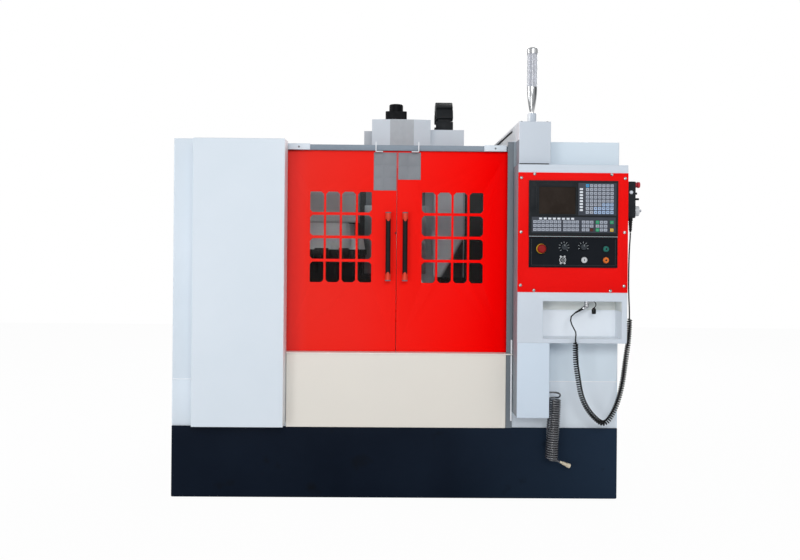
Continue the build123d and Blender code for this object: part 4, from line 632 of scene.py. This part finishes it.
lead_route = [
    (825, -995, 884), (798, -1000, 869.5), (800, -1036, 830), (818, -1054, 800), (814, -1058.5, 777),
]
curl_route = [
    (814, -1058, 757), (814, -1056, 677), (829, -1047, 590), (845, -1040, 505), (880, -1031, 438),
    (930, -1022, 388), (958, -1015, 378), (985, -1009, 398), (1020, -998, 462), (1047, -986, 550),
    (1065, -972, 665), (1085, -955, 765), (1086, -955, 859),
]
upper_lead = [
    (1086, -955, 900), (1080, -955, 1000), (1082, -955, 1170), (1087, -955, 1230), (1087, -955, 1258),
]
curl_radius, curl_pitch, curl_per_turn = 10.4, 10.5, 12
cord_radius, leads_length = 3.3, 0.62
curl_wire = wound(line_of(curl_route), curl_radius, curl_pitch, curl_per_turn)
pendant_cord = cord_piece(
    "pendant_cord", metres(lead_route) + curl_wire + metres(upper_lead), cord_radius, 2, 1
)
dress(pendant_cord, "pendant_cord", cord_black, "machine")
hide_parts("pendant_leads", "pendant_curl")
plug_sleeve = 0.852
plug = with_soft_corners("pendant_plug", plug_metal, 0.3)
second_finish(plug, cord_black, lambda centre, normal: centre.x < plug_sleeve)

hose_turns, hose_per_turn, hose_winding, hose_radius = 26, 14, 27.5, 4.0
hose_start, hose_unturned = math.radians(35), 0.05
hose_slack, slack_step = 0.012, 0.37
hose_top, hose_foot = Vector((738, -968, 485)), Vector((726, -968, 207))
hose_steps = hose_turns * hose_per_turn
hose_coil = []
for step in range(hose_steps + 1):
    angle = hose_start + 2 * math.pi * step / hose_per_turn * (1 - hose_unturned / hose_turns)
    loose = 1 + hose_slack * math.sin(step * slack_step)
    hose_coil.append(
        hose_top.lerp(hose_foot, step / hose_steps)
        + Vector((math.cos(angle), math.sin(angle), 0)) * hose_winding * loose
    )
hose_upper = [(712, -968, 512), (735, -968, 513), (756, -968, 510), (767, -966, 500)]
hose_lower = [
    (742, -945, 204), (722, -946, 200), (713, -962, 198), (729, -974, 198), (749, -970, 197),
    (765, -968, 191),
]
air_hose = cord_piece("air_hose", metres(hose_upper + hose_coil + hose_lower), hose_radius, 2, 2)
dress(air_hose, "air_hose", hose_smoke, "machine")
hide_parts("air_hose_tails", "air_hose_coil")

dust_cap = turned(
    (913, -985, 907), downward,
    [(0, 4.5), (2, 6.5), (6, 7.5), (6, 9.5), (10, 10), (24, 10), (28, 9), (29, 6)], 28,
)
dress(dust_cap, "dust_cap", cord_black, "machine")
cap_wire_radius = 2.2
cap_wire_route = [
    (906, -985, 938.5), (915, -985, 936.5), (923, -985, 925), (922, -985, 914), (913, -985, 906),
]
cap_wire = cord_piece("cap_wire", metres(cap_wire_route), cap_wire_radius, 8, 1)
dress(cap_wire, "cap_wire", cord_black, "machine")


# sheet metal and castings
for node, paint, edge, slot in (
    ("base_plinth", navy_paint, 3.0, "navy_paint"),
    ("door_sill", sill_cream, 1.0, "white_paint"),
    ("lower_front_panel", cream_paint, 2.0, "cream_paint"),
    ("door_post", grey_paint, 1.2, "grey_paint"),
    ("left_door", red_paint, 1.2, "red_paint"),
    ("right_door", red_paint, 1.2, "red_paint"),
    ("control_panel", panel_red, 0.8, "red_paint"),
    ("cnc_unit", black_plastic, 0.8, "black_plastic"),
    ("magazine_housing", drum_paint, 2.0, "white_paint"),
    ("electrical_cabinet", white_paint, 1.5, "white_paint"),
    ("cabinet_door", white_paint, 1.5, "white_paint"),
    ("z_way_plate", way_steel, 0.8, "bright_steel"),
    ("y_way_cover", way_steel, 0.8, "bright_steel"),
    ("drag_chain", chain_black, 2.0, "black_plastic"),
):
    with_soft_corners(node, paint, edge)


def looks_forward(normal):
    return normal.y < -0.9


def looks_left(normal):
    return normal.x < -0.5


# edges in metres between a piece's two finishes
front_walls, lower_right = -0.86, 0.5
box_left_side = 0.56
recess_left, recess_right, recess_foot, recess_top, recess_front = 0.667, 1.03, 0.767, 0.94, -1.036
drum_underside = 1.165
pads_back = -0.8705
nose_left, nose_right, nose_front, pod_edge = -0.036, 0.093, -0.32, -0.134

for node in ("left_side_panel", "right_side_panel", "rear_panels", "chip_pan"):
    wall = with_soft_corners(node, white_paint, 1.2)
    # the walls' inner faces: painted shade
    second_finish(wall, chamber_painted_shade, faces_chamber)
    if node == "right_side_panel":
        second_finish(
            wall, side_white,
            lambda centre, normal: looks_forward(normal) and centre.y < front_walls,
        )
    if node == "chip_pan":
        second_finish(
            wall, low_white,
            lambda centre, normal: (
                looks_forward(normal) and centre.y < front_walls and centre.x > lower_right
            ),
        )

control_box = with_soft_corners("control_box", box_white, 2.0)
# the recess's inner faces take the lighter white: painted light
second_finish(
    control_box, recess_white,
    lambda centre, normal: (
        recess_left < centre.x < recess_right
        and recess_foot < centre.z < recess_top
        and centre.y > recess_front
    ),
)
# the box's left side: painted shade
second_finish(
    control_box, side_grey,
    lambda centre, normal: looks_left(normal) and centre.x < box_left_side,
)

cover = with_soft_corners("left_front_cover", white_paint, 2.5)
# the cover's right side takes the lighter white: painted light where the door's shade falls
second_finish(cover, bright_white, lambda centre, normal: normal.x > 0.5)
service_box = with_soft_corners("service_box", service_white, 2.0)
# the service box's left side: painted shade
second_finish(service_box, side_grey, lambda centre, normal: looks_left(normal))
carousel = with_soft_corners("carousel", drum_paint, 1.0)
# the drum's underside: painted shade
second_finish(carousel, chamber_painted_shade, lambda centre, normal: centre.z < drum_underside)
# the column's front faces take the painted shade and light
column = with_soft_corners("column_casting", column_paint, 1.5)
second_finish(column, column_painted_light_and_shade, lambda centre, normal: looks_forward(normal))

# the cable trunk's left side is grey where it stands in front of the door post
trunk = with_soft_corners("cable_trunk", lamp_box_white, 1.2)
# the trunk's left side takes the lighter white: painted light on a side in shade
second_finish(trunk, bright_white, lambda centre, normal: looks_left(normal))
post_low, post_high = span("door_post")
post_top, post_front = post_high.z * MM, post_low.y * MM
only(trunk)
bpy.ops.object.mode_set(mode="EDIT")
for cut, way in (((0, 0, post_top), (0, 0, 1)), ((0, post_front, 0), (0, 1, 0))):
    bpy.ops.mesh.select_all(action="SELECT")
    bpy.ops.mesh.bisect(plane_co=cut, plane_no=way)
bpy.ops.object.mode_set(mode="OBJECT")
second_finish(
    trunk, side_grey,
    lambda centre, normal: looks_left(normal) and centre.z < post_top and centre.y < post_front,
)

header = with_soft_corners("door_header", strip_paint, 1.2)
second_finish(header, white_paint, lambda centre, normal: centre.y < pads_back)

head_cover = with_soft_corners("head_cover", white_paint, 1.5, crease=5)
second_finish(
    head_cover, cover_grey,
    lambda centre, normal: (
        normal.y < -0.99 and nose_left < centre.x < nose_right and centre.y < nose_front
    ),
)
second_finish(
    head_cover, pod_grey,
    lambda centre, normal: looks_forward(normal) and centre.x < pod_edge,
)

for node, look in (
    ("bed_casting", cast_paint), ("saddle", cast_paint), ("spindle_head", cast_paint),
    ("table", steel), ("spindle", steel), ("magazine_carriage", steel), ("z_motor", motor_black),
    ("left_window", window_clear), ("right_window", window_clear),
    ("left_grip", grip_rubber), ("right_grip", grip_rubber),
    ("left_grip_ends", grip_orange), ("right_grip_ends", grip_orange),
    ("cnc_screen", screen_glass), ("operator_panel", panel_black),
    ("e_stop_button", stop_red), ("start_button", button_green), ("stop_button", button_orange),
    ("feed_knob", knob_grey), ("spindle_knob", knob_grey), ("key_switch", silver),
    ("lamp_metalwork", chrome), ("lamp_lens", lens_clear), ("air_coupler", ivory),
    ("pendant_body", black_plastic), ("pendant_wheel", silver), ("pendant_stop", pendant_red),
    ("pendant_socket", plug_metal),
):
    cad[node].data.materials.clear()
    cad[node].data.materials.append(look)


# screws
def screws(name, places, way, rings, sides, look):
    """One screw head, copied to its places as one piece."""
    head = turned((0, 0, 0), way, rings, sides)
    dress(joined([copied(head, place) for place in places]), name, look, "machine")
    bpy.data.objects.remove(head)


panel_screw_places = [
    (564.5, 1500.4), (624.5, 1518.0), (976.2, 1518.0), (1038.0, 1500.9), (564.4, 1253.0),
    (1036.5, 1255.0), (563.5, 1011.0), (625.0, 988.5), (974.0, 988.5), (1036.0, 1010.4),
]
screws(
    "panel_screws", [(x, panel_face, z) for x, z in panel_screw_places], forward,
    [(0, 7.4), (1.4, 7.2), (3.0, 5.8), (3.9, 3.4), (3.9, 2.7), (2.2, 2.6)], 20, screw_zinc,
)
screws(
    "header_screws", [(x, pad_face, 1649.5) for x in (-464.5, 464.5)], forward,
    [(0, 4.6), (1.2, 4.4), (2.2, 3.2), (2.2, 1.8), (1.2, 1.6)], 16, screw_dark,
)
screws(
    "lamp_box_screws", [(x, -985, 1763) for x in (571, 690)], upward,
    [(0, 6), (1.5, 5.8), (3.2, 4.2), (3.8, 2.2)], 16, screw_zinc,
)


# doors
plate_top, plate_rim, plate_split = 1629, 3, 0.42
for side, left, right, foot, rows in (("left", -111, -3, 1448, 3), ("right", 5, 112, 1500, 2)):
    plate = [slab((left, door_face - 2.2, foot), (right, door_face, plate_top), 0.6)]
    row_height = (plate_top - foot - plate_rim) / rows
    middle = left + plate_split * (right - left)
    for row in range(rows):
        low = foot + plate_rim + row * row_height
        high = low + row_height - plate_rim
        for start, end in (
            (left + plate_rim, middle - plate_rim / 2), (middle + plate_rim / 2, right - plate_rim),
        ):
            plate.append(slab((start, door_face - 2.7, low), (end, door_face - 2.0, high), 0.3))
    dress(joined(plate), side + "_door_plate", plate_grey, side + "_door")

tab_front, tab_back = -883.2, -881.6
tab_outside, tab_inside, shelf_inside = 103, 99, 68
for side, way in (("left", -1), ("right", 1)):
    tab_left, tab_right = sorted((way * tab_outside, way * tab_inside))
    shelf_left, shelf_right = sorted((way * tab_outside, way * shelf_inside))
    shelf = slab((shelf_left, tab_front, 1629.6), (shelf_right, door_face, 1632.4), 0.5)
    upright = slab((tab_left, tab_front, 1630), (tab_right, tab_back, 1676), 0.4)
    dress(joined([shelf, upright]), side + "_door_tab", bright_white, side + "_door")

grip_low, grip_high = span("left_grip_ends")
rim_y, rim_drop, rim_rings = -888, 5, [(0, 13.7), (0.6, 14.0), (3.6, 13.8), (5.2, 12.2), (5.5, 9)]
tongue_y, tongue_drop, tongue_rings = -894, 26, [(0, 9.6), (6, 9.0), (12, 7.6), (17, 5.4), (20, 2.4)]
for side, x in (("left", -40), ("right", 40)):
    rims, tongues = [], []
    for end_z, way in ((grip_high.z, 1), (grip_low.z, -1)):
        rims.append(turned((x, rim_y, end_z - rim_drop * way), (0, 0, way), rim_rings, 28))
        tongues.append(turned((x, tongue_y, end_z - tongue_drop * way), (0, 0, -way), tongue_rings, 24))
    dress(joined(rims), side + "_grip_rims", plate_line, side + "_door")
    dress(joined(tongues), side + "_grip_tongues", grip_orange, side + "_door")

hem_heights = ((682.6, 692), (1629, 1635.6))
for side, left, right in (("left", -527, -1.2), ("right", 1.2, 527)):
    hems = [slab((left, door_face - 2, low), (right, door_face, high), 0.6) for low, high in hem_heights]
    dress(joined(hems), side + "_door_hems", red_paint, side + "_door")

lock_hole = turned((-5, door_face, 1246), forward, [(0, 4.2), (0.8, 4.0), (1.0, 3.0), (0.3, 2.6)], 20)
dress(lock_hole, "door_lock", seal_black, "left_door")


# seams' painted highlights, trim, seals and a painted shadow line
# bright strips along the panel seams: painted highlight
seam_low, seam_high = 549.6, 553.6
seam_highlights = [
    slab((left, wall_face - 3, seam_low), (right, wall_face, seam_high), 0.8)
    for left, right in ((703, 1046), (-1046, -937))
]
dress(joined(seam_highlights), "seam_highlight_strips", bright_white, "machine")
rods = [slab((541, -905, low), (548, -900, high), 1.0) for low, high in ((366, 675.6), (682.6, 747.6))]
dress(joined(rods), "post_trim", bright_white, "machine")
trunk_left = span("cable_trunk")[0].x
box_top = span("control_box")[1].z
post_flange = slab(
    (post_high.x - 1, post_low.y + 1, box_top), (trunk_left + 1, post_low.y + 4, post_high.z), 0.8,
)
dress(post_flange, "post_flange", side_grey, "machine")
box_seal = slab((556, -1036, 1562), (690, -1029, 1567), 1.0)
dress(box_seal, "box_seal", seal_black, "machine")
# a black line along the trunk's left side under its lid: painted shadow
trunk_painted_shadow_line = slab((561.6, -771, 1744.5), (566, 437, 1751.5), 0.8)
dress(trunk_painted_shadow_line, "trunk_painted_shadow_line", seal_black, "machine")
rail_low, rail_high = 893, 938.6
recess_rail = slab((668.6, -927, rail_low), (1028.4, -922, rail_high), 0.8)
rail_return = slab((1026.4, -1030, rail_low), (1028.6, -926, rail_high), 0.8)
dress(joined([recess_rail, rail_return]), "recess_rail", recess_grey, "machine")
hook_strap = slab((1053, -998, 1470), (1056.5, -975, 1516), 1.0)
dress(hook_strap, "pendant_strap", black_plastic, "machine")


# cabinet, chain, magazine and lamp
louvre_step, louvre_rows = 30, 6
louvre = slab((0, 882, 0), (220, 888.5, 15), 3.2)
louvres = [
    copied(louvre, (x, 0, foot + louvre_step * row))
    for x in (400, 720) for foot in (430, 1500) for row in range(louvre_rows)
]
bpy.data.objects.remove(louvre)
dress(joined(louvres), "cabinet_louvres", white_paint, "cabinet_door")

chain_low, chain_high = span("drag_chain")
arch_radius, arch_y, pin_radius, pin_inset = 111, -40, 108.5, 18
arch_z = chain_high.z - arch_radius
pin_rings = [(0, 3.4), (2.6, 3.4), (3.2, 2.4), (2.6, 1.2)]
pins = []
for x in (chain_low.x + pin_inset, chain_high.x - pin_inset):
    for degrees in (14, 27, 50, 63, 86):
        way = Vector((0, -math.cos(math.radians(degrees)), math.sin(math.radians(degrees))))
        pins.append(turned(Vector((x, arch_y, arch_z)) + way * pin_radius, way, pin_rings, 12))
dress(joined(pins), "chain_pins", seal_black, "chain")

front_link = slab((chain_low.x, arch_y - 111.5, 1822), (chain_high.x, arch_y - 88, 1876), 3)
dress(front_link, "chain_front_link", chain_black, "chain")

housing_low, housing_high = span("magazine_housing")
housing_depth, lid_height = 220, 46
# the lid takes the lighter white: painted light
lid = slab(
    (housing_low.x, housing_low.y, housing_high.z),
    (housing_high.x, housing_low.y + housing_depth, housing_high.z + lid_height), 3,
)
dress(lid, "magazine_lid", bright_white, "machine")

lens_low, lens_high = span("lamp_lens")
lens_middle = (lens_low + lens_high) / 2
lens_height = lens_high.z - lens_low.z
core = turned(
    (lens_middle.x, lens_middle.y, lens_low.z + 0.5), upward,
    [(0, 9), (4, 8), (lens_height - 5, 8), (lens_height - 1, 9)], 24,
)
dress(core, "lamp_core", lens_core, "machine")


# control unit
def key_cap(size, cap, printed=True):
    """A key with a sloped skirt, a softly rounded top and a small printed patch."""
    width, height = size
    key_depth, skirt, top_rise = 2.4 * MM, 0.9 * MM, 0.5 * MM
    print_rim = min(width, height) * 0.24 * MM
    nothing_selected()
    bpy.ops.mesh.primitive_cube_add(size=1)
    key = bpy.context.object
    key.scale = (width * MM, key_depth, height * MM)
    bpy.ops.object.transform_apply(location=True, rotation=True, scale=True)
    bpy.ops.object.mode_set(mode="EDIT")
    bpy.ops.mesh.select_all(action="DESELECT")
    bpy.ops.object.mode_set(mode="OBJECT")
    front = min(key.data.polygons, key=lambda face: face.normal.y)
    front.select = True
    bpy.ops.object.mode_set(mode="EDIT")
    bpy.ops.mesh.select_mode(type="FACE")
    bpy.ops.mesh.inset(thickness=skirt, depth=top_rise)
    bpy.ops.mesh.inset(thickness=print_rim, depth=0)
    bpy.ops.object.mode_set(mode="OBJECT")
    key.data.materials.append(cap)
    key.data.materials.append(key_print if printed else cap)
    for face in key.data.polygons:
        face.material_index = 1 if face.select else 0
    return key


plate_front, key_y = -1051.6, -1051.8
keys = [
    slab((822, plate_front, 1331), (997, unit_face, 1479), 1.2),
    slab((611, plate_front, 1252), (994, unit_face, 1323), 1.2),
]
for plate in keys:
    plate.data.materials.append(pale_plate)

square_key = (14.6, 13.6)
caps = {
    look: key_cap(square_key, look)
    for look in (key_grey, key_pale_blue, key_blue, key_green, key_yellow)
}
caps[key_brown] = key_cap(square_key, key_brown, printed=False)
side_key = key_cap((14.5, 9.0), key_white, printed=False)
soft_key = key_cap((13.5, 8.6), key_white, printed=False)
row_key = key_cap((15.6, 13.2), key_grey)

side_x, side_top, side_drop = 836, 1450, 13.6
pad_left, pad_top, pad_step, pad_drop = 864, 1466, 18.6, 17.3
soft_left, soft_z, soft_step = 651.5, 1315, 20.8
row_top, row_step, row_drop = 1300.5, 18.5, 17.6
brown_group, green_group, last_x, yellow_z = 847, 910.5, 976, 1265.3
for row in range(8):
    keys.append(copied(side_key, (side_x, key_y, side_top - side_drop * row)))
    for column in range(7):
        look = key_grey
        if row == 0 and column == 0:
            look = key_blue
        elif row >= 6 and column >= 2 or row == 5 and column >= 4:
            look = key_pale_blue
        place = (pad_left + pad_step * column, key_y, pad_top - pad_drop * row)
        keys.append(copied(caps[look], place))
for column in range(8):
    keys.append(copied(soft_key, (soft_left + soft_step * column, key_y, soft_z)))
for first, columns in ((626, 7), (762.5, 4), (brown_group, 3), (green_group, 3)):
    for column in range(columns):
        for row in range(3):
            key = row_key
            if first == brown_group and column == 2 and row == 2:
                key = caps[key_brown]
            elif first == green_group and column == 0 and row != 1:
                key = caps[key_green]
            keys.append(copied(key, (first + row_step * column, key_y, row_top - row_drop * row)))
keys.append(copied(caps[key_green], (last_x, key_y, row_top)))
keys.append(copied(caps[key_yellow], (last_x, key_y, yellow_z)))
for spare in (*caps.values(), side_key, soft_key, row_key):
    bpy.data.objects.remove(spare)
unit_keys = joined(keys)
corners_rounded(unit_keys, 0.35, 1, 25)
smooth(unit_keys)
dress(unit_keys, "unit_keys", None, "machine")
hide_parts("cnc_keypad")

joint_strip = slab((599, -1048.5, 1229.3), (1004, panel_face, 1239.7), 0.8)
dress(joint_strip, "joint_strip", black_plastic, "machine")
# a light line along the operator panel's top edge: painted highlight
panel_edge_highlight = slab((600, -1049.4, 1233.4), (1004, -1048, 1235.6), 0.4)
dress(panel_edge_highlight, "panel_edge_highlight", mark_white, "machine")
side_cover = slab((606, -1052.4, 1352), (629, -1050.8, 1462), 0.6)
dress(side_cover, "unit_side_cover", black_plastic, "machine")


# operator panel
def panel_ring(x, z, rings, name, look):
    """A ring that stands on the operator panel's face."""
    dress(turned((x, operator_face, z), forward, rings, 36), name, look, "machine")


e_stop_x, e_stop_z = 656, 1178
button_x, start_z, low_row_z = 951, 1179, 1128
key_x, port_x = 852, 754
dial_z, dial_radius, feed_x, spindle_x = 1187, 21, 760, 848
button_rings = [(0, 13.6), (5.2, 13.6), (5.8, 13.0), (5.8, 11.6), (4.0, 11.5)]

panel_ring(
    e_stop_x, e_stop_z, [(0, 22.6), (5.2, 22.4), (6.4, 21.2), (6.4, 15), (6.2, 14)],
    "stop_ring", ring_yellow,
)
panel_ring(button_x, start_z, button_rings, "start_ring", button_green)
panel_ring(button_x, low_row_z, button_rings, "stop_button_ring", button_orange)
panel_ring(key_x, low_row_z, button_rings, "key_ring", silver)
stop_cap = turned(
    (e_stop_x, -1060.3, e_stop_z), forward,
    [(0, 17), (1.2, 19.8), (3.5, 20.4), (6.5, 19.6), (8.6, 17.4)], 40,
)
dress(stop_cap, "stop_cap", stop_red, body_of_node("e_stop_button"))
button_front, key_front = -1056, -1052
for name, z in (("start", start_z), ("stop", low_row_z)):
    dot = turned((button_x, button_front, z), forward, [(0, 4.4), (0.35, 4.4), (0.55, 3.8)], 24)
    dress(dot, name + "_dot", seal_black, name)
key_face = turned(
    (key_x, key_front, low_row_z), forward, [(0, 11.2), (1.6, 11.2), (2.4, 10.4), (2.5, 8)], 32,
)
dress(key_face, "key_face", silver, "key")
key_slot = slab(
    (key_x - 1.6, -1055.1, low_row_z - 4.6), (key_x + 1.6, -1054.4, low_row_z + 4.6), 0.3,
)
dress(key_slot, "key_slot", seal_black, "key")
frame_left, frame_right, line_front = 611.4, 995, operator_face - 0.6
frame_sides = [
    slab((left, line_front, low), (right, operator_face, high), 0.2)
    for left, right, low, high in (
        (frame_left, 612.8, 1103, 1225), (993.6, frame_right, 1103, 1225),
        (frame_left, frame_right, 1102.4, 1103.8), (frame_left, frame_right, 1224, 1225.4),
    )
]
dress(joined(frame_sides), "panel_frame", frame_grey, "machine")

marks = []
for x, spread, count in ((feed_x, 135, 9), (spindle_x, 110, 7)):
    for step in range(count):
        angle = math.radians(-spread + 2 * spread * step / (count - 1))
        out = Vector((math.sin(angle), 0, math.cos(angle))) * dial_radius
        mark = slab((-0.7, -0.35, -4.0), (0.7, 0.35, 4.0), 0.2)
        mark.data.transform(
            Matrix.Translation((Vector((x, operator_face - 0.2, dial_z)) + out) * MM)
            @ Matrix.Rotation(angle, 4, "Y")
        )
        marks.append(mark)
dress(joined(marks), "dial_marks", mark_white, "machine")
for name, x in (("feed_knob", feed_x), ("spindle_knob", spindle_x)):
    line = slab((x - 0.8, -1066.9, dial_z + 3), (x + 0.8, -1066.2, dial_z + 12), 0.2)
    dress(line, name + "_line", mark_white, name)

port_front, barrel_front = -1051, -1059
flange = turned(
    (port_x, operator_face, low_row_z), forward, [(0, 15.4), (3.4, 15.2), (4.2, 14.4), (4.2, 12)], 36,
)
barrel = turned(
    (port_x, port_front, low_row_z), forward, [(0, 8.6), (6.8, 8.6), (7.6, 8.0), (7.6, 6.0)], 32,
)
ear_rings = [(0, 4.2), (3.4, 4.0), (4.4, 2.8), (4.6, 1.6)]
ears = [
    turned((port_x + across, operator_face, low_row_z + up), forward, ear_rings, 18)
    for across in (-9, 9) for up in (-15.5, 15.5)
]
dress(joined([flange, barrel, *ears]), "serial_port", silver, "machine")
port_gap = turned((port_x, port_front, low_row_z), forward, [(0, 12.2), (0.5, 12.2), (0.6, 10)], 32)
port_core = turned((port_x, barrel_front, low_row_z), forward, [(0, 5.0), (0.6, 5.0), (0.7, 3)], 24)
dress(joined([port_gap, port_core]), "serial_port_core", seal_black, "machine")


# pendant
boot_rings = [(0, 10.5), (14, 10.5)]
for rib in range(5):
    foot, neck, swell = 15 + 8 * rib, 8.0 - 0.4 * rib, 9.6 - 0.5 * rib
    boot_rings += [(foot, neck), (foot + 4, neck), (foot + 4.4, swell), (foot + 7.6, swell)]
boot = turned((1087, -955, 1324), downward, boot_rings + [(58, 6.0), (64, 4.6)], 24)
dress(boot, "pendant_boot", cord_black, "machine")
collar = turned(
    (1100, -955, 1478), rightward, [(0, 13.2), (10.6, 13.2), (12.2, 12.0), (12.2, 9.2)], 28,
)
dress(collar, "pendant_stop_ring", pendant_red, "machine")
dome = turned((1078, -998.6, 1441), forward, [(0, 8.6), (1.2, 8.4), (3.2, 6.6), (4.4, 3.4)], 24)
dress(dome, "pendant_enable_dome", key_white, "machine")
crank = turned((1124.6, -970, 1357), rightward, [(0, 5.4), (3, 6.4), (6.2, 6.0), (7.3, 3.6)], 20)
dress(crank, "pendant_crank", lens_clear, "wheel")


# stage and light
def seen_directly(tree, share):
    """A share for what the camera, metal or glass sees, and 0 for other light."""
    path = tree.nodes.new("ShaderNodeLightPath")
    total = path.outputs["Is Camera Ray"]
    for ray in ("Is Glossy Ray", "Is Transmission Ray"):
        add = tree.nodes.new("ShaderNodeMath")
        add.use_clamp = True
        tree.links.new(total, add.inputs[0])
        tree.links.new(path.outputs[ray], add.inputs[1])
        total = add.outputs["Value"]
    part = tree.nodes.new("ShaderNodeMath")
    part.operation = "MULTIPLY"
    part.inputs[1].default_value = share
    tree.links.new(total, part.inputs[0])
    return part.outputs["Value"]


def lit_and_seen(tree, output, share, lighting, seen):
    """Blends the shader that lights the object with the one that is seen directly."""
    surface = tree.nodes.new(output)
    blend = tree.nodes.new("ShaderNodeMixShader")
    tree.links.new(seen_directly(tree, share), blend.inputs[0])
    tree.links.new(lighting.outputs[0], blend.inputs[1])
    tree.links.new(seen.outputs[0], blend.inputs[2])
    tree.links.new(blend.outputs["Shader"], surface.inputs["Surface"])


nothing_selected()
bpy.ops.mesh.primitive_plane_add(size=16, location=(0, 0, -0.0006))
floor = bpy.context.object
floor.name = "floor"
floor_pale = bpy.data.materials.new("floor_pale")
floor_pale.use_nodes = True
tree = floor_pale.node_tree
tree.nodes.clear()
matt = tree.nodes.new("ShaderNodeBsdfDiffuse")
matt.inputs["Color"].default_value = (0.8, 0.8, 0.8, 1)
glow = tree.nodes.new("ShaderNodeEmission")
lit_and_seen(tree, "ShaderNodeOutputMaterial", 0.97, matt, glow)
floor.data.materials.append(floor_pale)

world = bpy.data.worlds.new("studio")
bpy.context.scene.world = world
world.use_nodes = True
tree = world.node_tree
tree.nodes.clear()
room = tree.nodes.new("ShaderNodeBackground")
room.inputs["Color"].default_value = (0.95, 0.97, 1.0, 1)
room.inputs["Strength"].default_value = 0.38
white = tree.nodes.new("ShaderNodeBackground")
white.inputs["Color"].default_value = (1, 1, 1, 1)
lit_and_seen(tree, "ShaderNodeOutputWorld", 1.0, room, white)


def softbox(name, place, aim, size, watts):
    """A flat soft lamp at a place in metres, turned towards its aim."""
    bpy.ops.object.light_add(type="AREA", location=place)
    lamp = bpy.context.object
    lamp.name = name
    lamp.data.shape = "RECTANGLE"
    lamp.data.size, lamp.data.size_y = size
    lamp.data.energy = watts
    lamp.rotation_mode = "QUATERNION"
    lamp.rotation_quaternion = (Vector(aim) - Vector(place)).to_track_quat("-Z", "Y")


softbox("front_light", (0.4, -8.4, 3.5), (0, -0.9, 0.9), (3.4, 2.0), 235)
softbox("key_light", (3.6, -4.8, 4.0), (0.1, -0.8, 0.9), (2.0, 2.0), 20)
softbox("fill_light", (-2.8, -7.2, 0.9), (-0.2, -0.8, 0.6), (2.0, 1.4), 84)
softbox("side_light", (-6.0, -0.7, 2.7), (0.5, -0.4, 1.6), (2.0, 2.0), 105)
softbox("back_light", (1.5, 4.5, 4.2), (0, 0.5, 1.0), (3.0, 3.0), 150)

bpy.context.scene.view_settings.view_transform = "Standard"
